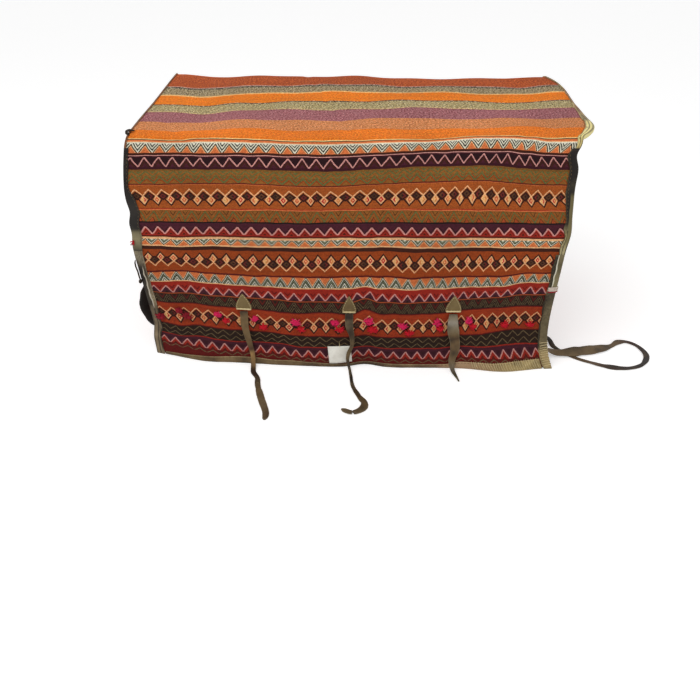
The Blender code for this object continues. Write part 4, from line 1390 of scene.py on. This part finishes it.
for number, (sideName, wall, part) in enumerate(bindingLooks):
    makeEndBinding(sideName, wall, part, 70 + 3 * number)

rimShape = {"height": 0.018, "step": 0.006, "clear": 0.0005, "ragged": 0.0013, "endRagged": 0.0014}
rimHeights = [  # place along the front mouth, height of the strip there
    (-0.475, 0.009), (-0.400, 0.013), (-0.290, 0.019), (-0.120, 0.013), (0.000, 0.008), (0.120, 0.010),
    (0.235, 0.012), (0.270, 0.020), (0.350, 0.021), (0.410, 0.026), (0.475, 0.028),
]


def rimHeight(x, out):
    if out > 0.0:
        return rimShape["height"]
    return float(np.interp(x, *zip(*rimHeights)))


def makeLongRim(name, out, node, seed):
    reach = halfLength - endInset - rimShape["clear"]
    count = int(2 * reach / rimShape["step"])
    xs = np.linspace(-reach, reach, count)
    section, shares = channel(rimShape["height"], rimShape["height"], clothThick + gap)
    uneven, puff = ripple(seed, count, rimShape["step"], 0.045), ripple(seed + 1, count, rimShape["step"], 0.016)
    rings = []
    for x, more, swell in zip(xs, uneven, puff):
        ring = []
        for z, lift in section:
            if lift > 0.0 and z > leatherThick:
                z *= rimHeight(x, out) / rimShape["height"]
                z += rimShape["ragged"] * more * min(1.0, z / 0.008)
            if lift > gap * 1.5:
                lift += puffHigh["rim"] * (swell + 0.5)
            v = z if out < 0.0 else clothLength - z
            ring.append(clothPoint(x, v, lift))
        rings.append(ring)
    piece = sweepPiece(name, rings, shares, hide["frontRimHide" if out < 0.0 else "brownHide"], "bag", "brown_leather")
    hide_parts(node)


def makeEndRim(name, side, node, seed):
    reach = halfDepth - (clothThick + endThick + 3 * gap) - leatherThick - rimShape["clear"]
    count = int(2 * reach / rimShape["step"])
    section, shares = channel(rimShape["height"], rimShape["height"], endThick + gap)
    uneven = ripple(seed, count, rimShape["step"], 0.040)
    rings = []
    for y, more in zip(np.linspace(-reach, reach, count), uneven):
        ring = []
        for z, out in section:
            height = z + (rimShape["endRagged"] * more if z > 0.016 else 0.0)
            ring.append(settle(np.array(side * (endFace + out)), np.array(y), np.array(height)))
        rings.append(ring)
    piece = sweepPiece(name, rings, shares, hide["brownHide"], "bag", "brown_leather")
    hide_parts(node)


makeLongRim("frontRimStrip", -1.0, "front_mouth_binding", 120)
makeLongRim("backRimStrip", 1.0, "back_mouth_binding", 123)
makeEndRim("leftRimStrip", -1.0, "left_mouth_binding", 126)
makeEndRim("rightRimStrip", 1.0, "right_mouth_binding", 129)
print("seams bound")

# Patches: a pointed piece with a raised centre, sewn round its edge, its hem folded over
patchShape = {"height": 0.043, "hem": 0.150, "thick": 0.0026, "lift": 0.0003}
patchWidths = {"left": 0.038, "middle": 0.034, "right": 0.042, "back": 0.038}
hem = {"fat": 0.0017, "waves": 700.0, "up": 0.0030, "out": 0.0040, "rings": 15, "sides": 10}
thread = {"thick": 0.00055, "step": 0.0062, "long": 0.0042}


houseSide = [(0.90, 0.0), (1.0, 0.12), (0.97, 0.25), (0.80, 0.45), (0.52, 0.68), (0.20, 0.90), (0.0, 1.0)]


def pointedOutline(width, height):
    half = width / 2
    smooth = smoothRoute([(half * a, height * b, 0.0) for a, b in houseSide], 0.002)[:, :2]
    flip = smooth[::-1][1:] * np.array([-1.0, 1.0])
    bottom = np.linspace(flip[-1], smooth[0], 14)[1:-1]
    return np.concatenate([smooth, flip, bottom])


patchLayers = [  # size and height of each ring of a patch, with a sewn groove near its edge
    (1.0, 0.0), (1.01, 0.35), (1.0, 0.75), (0.965, 1.0), (0.90, 1.05),
    (0.86, 0.82), (0.82, 0.98), (0.6, 1.10), (0.3, 1.16), (0.06, 1.18),
]
grooveSize = 0.86


def sewnPatch(name, outline, onSurface, look, body, slot, thick, node):
    centre = np.array([0.0, (outline[:, 1].min() + outline[:, 1].max()) / 2])
    rings = []
    for scale, up in patchLayers:
        ring = centre + (outline - centre) * scale
        rings.append([onSurface(a, b, patchShape["lift"] + thick * up) for a, b in ring])
    count = len(outline)
    points = np.concatenate([np.array(ring).reshape(-1, 3) for ring in rings])
    faces = gridFaces(len(patchLayers), count)
    for row in range(len(patchLayers) - 1):
        faces.append((row * count + count - 1, row * count, (row + 1) * count, (row + 1) * count + count - 1))
    faces.append(tuple(range(count - 1, -1, -1)))
    last = (len(patchLayers) - 1) * count
    faces.append(tuple(range(last, last + count)))
    sides = [np.full(count, 0.5 + 0.5 * min(1.0, scale)) for scale, up in patchLayers]
    uvs = np.concatenate([np.stack([outline[:, 1], side], axis=-1) for side in sides])
    piece = addPiece(name, points, faces, hide[look], body, slot, "strip", uvs)
    turnOut(piece)
    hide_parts(node)


def stitchMesh(runs, radius):  # short rounded threads, each from one point over a middle to the next
    points, faces, uvs = [], [], []
    sides = 6
    for run in runs:
        run = [np.asarray(p, dtype=float).reshape(3) for p in run]
        first = len(points)
        for index, spot in enumerate(run):
            along = run[min(index + 1, len(run) - 1)] - run[max(index - 1, 0)]
            along = along / max(np.linalg.norm(along), 1e-9)
            helper = np.array([0.0, 0.0, 1.0]) if abs(along[2]) < 0.8 else np.array([1.0, 0.0, 0.0])
            wide = np.cross(along, helper)
            wide = wide / np.linalg.norm(wide)
            thin = np.cross(along, wide)
            size = radius * (0.55 if index in (0, len(run) - 1) else 1.0)
            for corner in range(sides):
                turn = 2 * math.pi * corner / sides
                points.append(spot + (wide * math.cos(turn) + thin * math.sin(turn)) * size)
                uvs.append((index * 0.002 + first * 0.01, corner / sides))
        for index in range(len(run) - 1):
            for corner in range(sides):
                after = (corner + 1) % sides
                low, high = first + index * sides, first + (index + 1) * sides
                faces.append((low + corner, low + after, high + after, high + corner))
        faces.append(tuple(first + i for i in range(sides - 1, -1, -1)))
        last = first + (len(run) - 1) * sides
        faces.append(tuple(last + i for i in range(sides)))
    return points, faces, uvs


def addThreads(name, runs, radius, material, body, slot="tan_leather"):
    points, faces, uvs = stitchMesh(runs, radius)
    turnOut(addPiece(name, points, faces, material, body, slot, "strip", uvs))


def makeThreadStuff(name, base, deep):
    material, tree, shader = newMaterial(name, 0.85)
    place = addNode(tree, "ShaderNodeTexCoord").outputs["Object"]
    wave = addNode(tree, "ShaderNodeTexWave", wave_type="BANDS", bands_direction="DIAGONAL")
    tree.links.new(place, wave.inputs["Vector"])
    wave.inputs["Scale"].default_value = 420.0
    wave.inputs["Distortion"].default_value = 1.5
    spread = noise(tree, place, 140.0, 3.0, 0.6)
    tone = calc(tree, "ADD", calc(tree, "MULTIPLY", wave.outputs["Fac"], 0.45), calc(tree, "MULTIPLY", spread, 0.65))
    tree.links.new(ramp(tree, tone, [(0.25, deep), (0.72, base)], True), shader.inputs["Base Color"])
    putBump(tree, shader, tone, 0.0004, 0.8)
    return material


threadTones = {  # material, yarn and shade
    "cream": ("creamThread", (222, 206, 160), (150, 128, 84)),
    "tan": ("tanThread", (178, 154, 106), (110, 88, 54)),
    "brown": ("brownThread", (120, 98, 64), (60, 46, 28)),
    "magenta": ("magentaWool", (232, 38, 98), (168, 18, 62)),
    "red": ("redWool", (214, 22, 40), (140, 10, 26)),
    "crimson": ("crimsonWool", (160, 28, 44), (90, 12, 24)),
    "dark": ("darkCord", (60, 48, 36), (22, 17, 13)),
    "white": ("whiteWool", (226, 214, 200), (160, 140, 126)),
}
threadStuff = {
    key: makeThreadStuff(name, srgb(*yarn), srgb(*shade)) for key, (name, yarn, shade) in threadTones.items()
}


def alongOutline(outline, onSurface, lift, step, long):
    closed = np.concatenate([outline, outline[:1]])
    gaps = np.linalg.norm(np.diff(closed, axis=0), axis=1)
    places = np.concatenate([[0.0], np.cumsum(gaps)])
    runs = []
    for number in range(int(places[-1] / step)):
        run = []
        for share, rise in ((0.0, -0.5), (0.3, 0.6), (0.7, 0.6), (1.0, -0.5)):
            at = (number + 0.5) * step + long * (share - 0.5)
            a = np.interp(at, places, closed[:, 0])
            b = np.interp(at, places, closed[:, 1])
            run.append(onSurface(a, b, lift + thread["thick"] * rise))
        runs.append(run)
    return runs


def makeWallPatch(side, name):
    centre = patchCentres[name]
    out = -1.0 if side == "front" else 1.0
    width = patchWidths[name if side == "front" else "back"]

    def onSurface(a, b, lift):
        v = patchShape["hem"] + b
        return clothPoint(centre + a, v if out < 0 else clothLength - v, lift)

    outline = pointedOutline(width, patchShape["height"])
    label = f"{side}{name.title()}"
    node = f"{side}_{name}_patch"
    sewnPatch(f"{label}Patch", outline, onSurface, "patchHide", "bag", "brown_leather", patchShape["thick"], node)
    middle = np.array([0.0, patchShape["height"] / 2])
    groove = middle + (outline - middle) * grooveSize
    lift = patchShape["lift"] + patchShape["thick"] * 0.92
    runs = alongOutline(groove, onSurface, lift, thread["step"], thread["long"])
    addThreads(f"{label}PatchStitches", runs, thread["thick"], threadStuff["cream"], "bag")
    half = width / 2 * 0.94
    rings = []
    for a in np.linspace(-half, half, hem["rings"]):
        fat = hem["fat"] * (1.0 + 0.16 * math.sin(a * hem["waves"])) * (0.6 if abs(a) > half * 0.95 else 1.0)
        ring = []
        for corner in range(hem["sides"]):
            turn = 2 * math.pi * corner / hem["sides"]
            ring.append(onSurface(a, hem["up"] + fat * 1.25 * math.cos(turn), hem["out"] + fat * math.sin(turn)))
        rings.append(ring)
    shares = [0.5 + 0.4 * (i % 2) for i in range(hem["sides"] + 1)]
    sweepPiece(f"{label}Hem", rings, shares, hide["paleHide"], "bag", "tan_leather")


for side in ("front", "back"):
    for name in patchCentres:
        makeWallPatch(side, name)

loopPatch = {
    "height": 0.034, "thick": 0.0025, "lift": 0.0005, "stitchLift": 0.0027, "stitchStep": 0.0068,
    "stitchLong": 0.0044
}
loopPatchOutline = [
    (-0.050, 0.0), (0.050, 0.0), (0.0552, 0.0015), (0.056, 0.006), (0.056, 0.028), (0.0550, 0.0330), (0.050, 0.034),
    (-0.050, 0.034), (-0.0550, 0.0330), (-0.056, 0.028), (-0.056, 0.006), (-0.0552, 0.0015), (-0.0502, 0.0),
]


def onRightEnd(a, b, lift):
    spot = endFace + loopPatch["lift"] + lift, loopShape["centre"] + a, loopShape["hem"] + b
    return settle(*(np.array(c) for c in spot))


def makeLoopPad():
    outline = smoothRoute([(a, b, 0.0) for a, b in loopPatchOutline], 0.003)[:-1, :2]
    sewnPatch(
        "rightLoopPad", outline, onRightEnd, "darkHide", "bag", "dark_leather", loopPatch["thick"],
        "right_loop_patch"
    )
    middle = np.array([0.0, loopPatch["height"] / 2])
    groove = middle + (outline - middle) * grooveSize
    runs = alongOutline(groove, onRightEnd, loopPatch["stitchLift"], loopPatch["stitchStep"], loopPatch["stitchLong"])
    addThreads("rightLoopPadStitches", runs, thread["thick"], threadStuff["tan"], "bag")


makeLoopPad()

# The stiff handle on the left end
handleShape = {
    "width": 0.026, "thick": 0.0036, "centre": -0.250, "top": 0.236, "foot": 0.052, "seat": 0.026,
    "bow": 0.047, "turnDegrees": 58.0, "stations": 9, "stitchAside": 0.009,
}
handleStitch = [(0.0006, -0.002), (-0.0005, -0.001), (-0.0005, 0.001), (0.0006, 0.002)]  # inward, up


def makeHandle():
    seat = endFace + 0.0007 + handleShape["thick"] / 2
    top, foot, near = handleShape["top"], handleShape["foot"], handleShape["seat"] * 0.35
    points = [(seat, top + handleShape["seat"], 0.0), (seat, top + near, 0.0)]
    for share in np.linspace(0.0, 1.0, handleShape["stations"]):
        bowed = math.sin(math.pi * share ** 1.6) ** 0.75
        points.append(
            (seat + handleShape["bow"] * bowed, top - (top - foot) * share, handleShape["turnDegrees"] * bowed)
        )
    points += [(seat, foot - near, 0.0), (seat, foot - handleShape["seat"], 0.0)]
    route = []
    for out, height, turn in points:
        spot = settle(np.array(-out), np.array(handleShape["centre"]), np.array(height))
        route.append((*spot, handleShape["width"], turn))
    stations = smoothRoute(route, 0.005)
    rings = strapRings(stations, handleShape["thick"], lambda along: np.array([0.0, 1.0, 0.0]), 401, 0.0003)
    piece = sweepPiece("leftHandleStrap", rings, strapShares, hide["blackHide"], "bag", "dark_leather")
    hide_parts("left_end_handle")
    runs = []
    heights = [*np.arange(top + 0.008, top + 0.024, 0.005), *np.arange(foot - 0.024, foot - 0.006, 0.005)]
    for height in heights:
        for sideways in (-handleShape["stitchAside"], handleShape["stitchAside"]):
            face = -(seat + handleShape["thick"] / 2)
            spot = settle(np.array(face), np.array(handleShape["centre"] + sideways), np.array(height))
            runs.append([spot + np.array([inward, 0.0, up]) for inward, up in handleStitch])
    addThreads("leftHandleStitches", runs, 0.0006, threadStuff["tan"], "bag")


makeHandle()
print("patches and handle sewn")

# Stitches along the bindings
sewing = {"step": 0.0085, "long": 0.0052, "inset": 0.0030, "least": 0.006}
stitchArc = [(-0.5, -0.0004), (-0.2, 0.0004), (0.2, 0.0004), (0.5, -0.0004)]  # share of its length, height


def bindingStitches():
    runs = []
    for key in bindingLooks:
        sideName, wall, part = key
        side = -1.0 if sideName == "left" else 1.0
        span = bindings[part]
        for middle in np.arange(span["start"] + 0.02, span["end"] - 0.008, sewing["step"]):
            run = []
            for share, rise in stitchArc:
                v = middle + sewing["long"] * share
                v = clothLength - v if wall == "back" else v
                inset = max(bindingFace(key, v), sewing["least"]) - sewing["inset"]
                run.append(clothPoint(side * (halfLength - inset), v, gap + leatherThick + 0.0002 + rise))
            runs.append(run)
    for out in (-1.0, 1.0):
        reach = halfLength - 0.035
        for middle in np.arange(-reach, reach, sewing["step"]):
            run = []
            z = rimHeight(middle, out) - sewing["inset"]
            v = z if out < 0 else clothLength - z
            for share, rise in stitchArc:
                run.append(clothPoint(middle + sewing["long"] * share, v, gap + leatherThick + 0.0003 + rise))
            runs.append(run)
    return runs


addThreads("seamStitches", bindingStitches(), 0.0005, threadStuff["brown"], "bag")


whip = {"step": 0.0062, "shake": 0.0008, "thick": 0.0008}
whipRuns = {"seam": (0.010, 0.075), "rim": (0.300, 0.470)}


def whipStitches():  # cream thread over the right front edge and the rim beside it
    runs, dice = [], random.Random(5)
    face = bindingFace(("right", "front", "Lower"), 0.0)
    for middle in np.arange(*whipRuns["seam"], whip["step"]):
        v = middle + dice.uniform(-whip["shake"], whip["shake"])
        slant = dice.uniform(0.0008, 0.0026)
        path = (
            (face * 0.92, -1.0, 0.0022), (face * 0.8, -0.8, 0.0034), (0.010, 0.0, 0.0032),
            (0.0030, 0.5, 0.0032), (-0.0006, 1.0, 0.0012), (-0.0007, 1.0, -0.0040),
        )
        runs.append([clothPoint(halfLength - inset, v + slant * share, lift) for inset, share, lift in path])
    for middle in np.arange(*whipRuns["rim"], whip["step"]):
        x = middle + dice.uniform(-whip["shake"], whip["shake"])
        slant = dice.uniform(0.0005, 0.0022)
        top = rimHeight(x, -1.0)
        path = ((-1.0, top + 0.0015, 0.0008), (-1.0, top - 0.0015, 0.0036), (0.0, 0.010, 0.0033), (1.0, 0.0032, 0.0031))
        runs.append([clothPoint(x + slant * share, v, lift) for share, v, lift in path])
    return runs


addThreads("whipThreads", whipStitches(), whip["thick"], threadStuff["cream"], "bag")
print("stitches in")

# Wool tufts, thread ends and the bare ticket
tufts = {
    "magenta": [
        (-0.3297, 0.137), (-0.2412, 0.131), (-0.1416, 0.123), (-0.0453, 0.127), (0.038, 0.131), (0.1217, 0.119),
        (0.2098, 0.126), (0.2926, 0.132)
    ],
    "red": [
        (-0.3099, 0.122), (-0.2216, 0.109), (-0.1296, 0.106), (-0.0356, 0.111), (0.0481, 0.109), (0.1374, 0.101),
        (0.2183, 0.110), (0.3051, 0.118), (0.39, 0.122), (0.4528, 0.126)
    ],
    "crimson": [(-0.4773, 0.122), (-0.4258, 0.142), (-0.4094, 0.126)],
}
tuftShape = {
    "high": 0.0118, "wide": 0.0138, "strands": 40, "thick": 0.0013,
    "size": (0.85, 1.15), "reach": (0.45, 1.0), "lift": (0.0040, 0.0078), "shake": 0.0009, "down": 0.004,
}


def makeTufts(colour, places, seed):
    dice = random.Random(seed)
    shake = tuftShape["shake"]
    runs = []
    for x, v in places:
        size = dice.uniform(*tuftShape["size"])
        for _ in range(tuftShape["strands"]):
            turn = dice.uniform(0.0, 2 * math.pi)
            reach = size * dice.uniform(*tuftShape["reach"])
            side, drop = tuftShape["wide"] * reach * math.cos(turn), tuftShape["high"] * reach * math.sin(turn)
            high = dice.uniform(*tuftShape["lift"])
            run = []
            for share in (0.0, 0.25, 0.5, 0.75, 1.0):
                lift = 0.0006 + high * math.sin(math.pi * min(1.0, 0.30 + share * 0.62)) + 0.0008 * dice.random()
                strandX = x + side * share + dice.uniform(-shake, shake)
                strandV = v - tuftShape["down"] + drop * share + dice.uniform(-shake, shake)
                run.append(clothPoint(strandX, strandV, lift))
            runs.append(run)
    addThreads(f"{colour}Tufts", runs, tuftShape["thick"], threadStuff[colour], "bag", "woven_cloth")


for number, (colour, places) in enumerate(tufts.items()):
    makeTufts(colour, places, 200 + number)


ticket = {
    "low": (-0.0635, 0.0125), "high": (-0.0065, 0.0575), "lean": 0.0045, "lift": 0.0034, "curl": 0.0016,
    "wave": 0.0006, "columns": 13, "rows": 11, "thick": 0.0004, "stringThick": 0.0005,
}
ticketString = [(-0.034, 0.0560, 0.0048), (-0.0345, 0.0600, 0.0052), (-0.0350, 0.0650, 0.0030), (-0.0352, 0.0680, 0.0)]


def makeTicket():
    material, tree, shader = newMaterial("ticketPaper", 0.7)
    place = addNode(tree, "ShaderNodeTexCoord").outputs["Object"]
    cloud = noise(tree, place, 45.0, 4.0, 0.6)
    paper = ramp(tree, cloud, [(0.3, srgb(206, 202, 190)), (0.7, srgb(232, 230, 220))], True)
    tree.links.new(paper, shader.inputs["Base Color"])
    putBump(tree, shader, noise(tree, place, 600.0, 3.0), 0.0002, 0.5)
    (lowX, lowV), (highX, highV) = ticket["low"], ticket["high"]
    points, uvs = [], []
    for b in np.arange(ticket["rows"]) / (ticket["rows"] - 1):
        for a in np.arange(ticket["columns"]) / (ticket["columns"] - 1):
            x = lowX + (highX - lowX) * a + ticket["lean"] * (1.0 - b) - 0.001
            v = lowV + (highV - lowV) * b + 0.001 * a
            curl = ticket["curl"] * (1.0 - a) ** 2 * (1.0 - b)
            points.append(clothPoint(x, v, ticket["lift"] + curl + ticket["wave"] * math.sin(5.0 * a + 2.0 * b)))
            uvs.append((a, b))
    faces = gridFaces(ticket["rows"], ticket["columns"])
    addThickness(addPiece("bareTicket", points, faces, material, "bag", "woven_cloth", "strip", uvs), ticket["thick"])
    string = [clothPoint(*spot) for spot in ticketString]
    addThreads("ticketString", [string], ticket["stringThick"], threadStuff["cream"], "bag")


makeTicket()


edgeTuft = {"place": (-halfLength + 0.006, 0.326, 0.0), "strands": 14, "thick": 0.0011}
edgeTuftReach = [(-0.010, 0.002), (-0.006, 0.004), (-0.013, 0.004)]  # how far a strand may go in x, y and z


def makeEdgeTuft():
    dice = random.Random(9)
    runs = []
    for _ in range(edgeTuft["strands"]):
        end = clothPoint(*edgeTuft["place"])
        offset = np.array([dice.uniform(low, high) for low, high in edgeTuftReach])
        near = end + offset * 0.35 + np.array([-0.002, -0.003, 0.0])
        far = end + offset * 0.7 + np.array([-0.003, -0.004, 0.0])
        runs.append([end, near, far, end + offset])
    addThreads("edgeTuft", runs, edgeTuft["thick"], threadStuff["red"], "bag", "woven_cloth")


edgeCord = {"thick": 0.0019, "knot": (-0.5020, 0.218, 0.0045), "knotReach": 0.0030, "knotThick": 0.0015, "turns": 3}
edgeCordPath = [
    (-0.501, 0.275, 0.001), (-0.5025, 0.268, 0.004), (-0.5030, 0.258, 0.0045), (-0.5015, 0.246, 0.0045),
    (-0.5020, 0.234, 0.004), (-0.5015, 0.224, 0.0045), (-0.5020, 0.214, 0.004),
]


def makeEdgeCord():
    path = [clothPoint(*spot) for spot in edgeCordPath]
    addThreads("edgeCord", [path], edgeCord["thick"], threadStuff["dark"], "bag", "dark_leather")
    knot, reach = clothPoint(*edgeCord["knot"]), edgeCord["knotReach"]
    runs = []
    for number in range(edgeCord["turns"]):
        run = []
        for step in range(9):
            turn = 2 * math.pi * step / 8
            up = 0.0022 * (number - 1) + 0.0012 * math.sin(turn + number)
            run.append(knot + np.array([reach * math.cos(turn), reach * math.sin(turn), up]))
        runs.append(run)
    addThreads("edgeCordKnot", runs, edgeCord["knotThick"], threadStuff["dark"], "bag", "dark_leather")


seamWrap = {"start": 0.207, "step": 0.0034, "face": 0.0215, "thick": 0.0018}
seamWrapPath = [  # inset from the edge, way along the cloth, height over it
    (seamWrap["face"], -0.001, 0.0010), (seamWrap["face"] * 0.85, 0.0, 0.0044), (seamWrap["face"] * 0.5, 0.0005, 0.0047),
    (0.0030, 0.001, 0.0042), (-0.0016, 0.001, 0.0005), (-0.0012, 0.001, -0.0060),
]


def makeSeamWrap():
    wraps = {"white": [], "crimson": []}
    for number, colour in enumerate(("crimson", "white", "white", "white")):
        v = seamWrap["start"] + number * seamWrap["step"]
        wraps[colour].append([clothPoint(halfLength - inset, v + along, lift) for inset, along, lift in seamWrapPath])
    for colour, runs in wraps.items():
        addThreads(f"{colour}Wrap", runs, seamWrap["thick"], threadStuff[colour], "bag", "woven_cloth")


cornerCurl = {"strands": 4, "step": 0.0024, "thick": 0.0021}
cornerCurlPath = [(-0.497, 0.604, 0.006), (-0.502, 0.596, 0.006), (-0.500, 0.588, 0.004), (-0.494, 0.584, 0.003)]


def makeCornerCurl():
    runs = []
    for number in range(cornerCurl["strands"]):
        inset = cornerCurl["step"] * number
        run = [clothPoint(-0.486, 0.606, 0.003)]
        runs.append(run + [clothPoint(x, v - inset, lift) for x, v, lift in cornerCurlPath])
    addThreads("cornerCurl", runs, cornerCurl["thick"], threadStuff["dark"], "bag", "dark_leather")


makeEdgeTuft()
makeEdgeCord()
makeSeamWrap()
makeCornerCurl()
print("small things on")
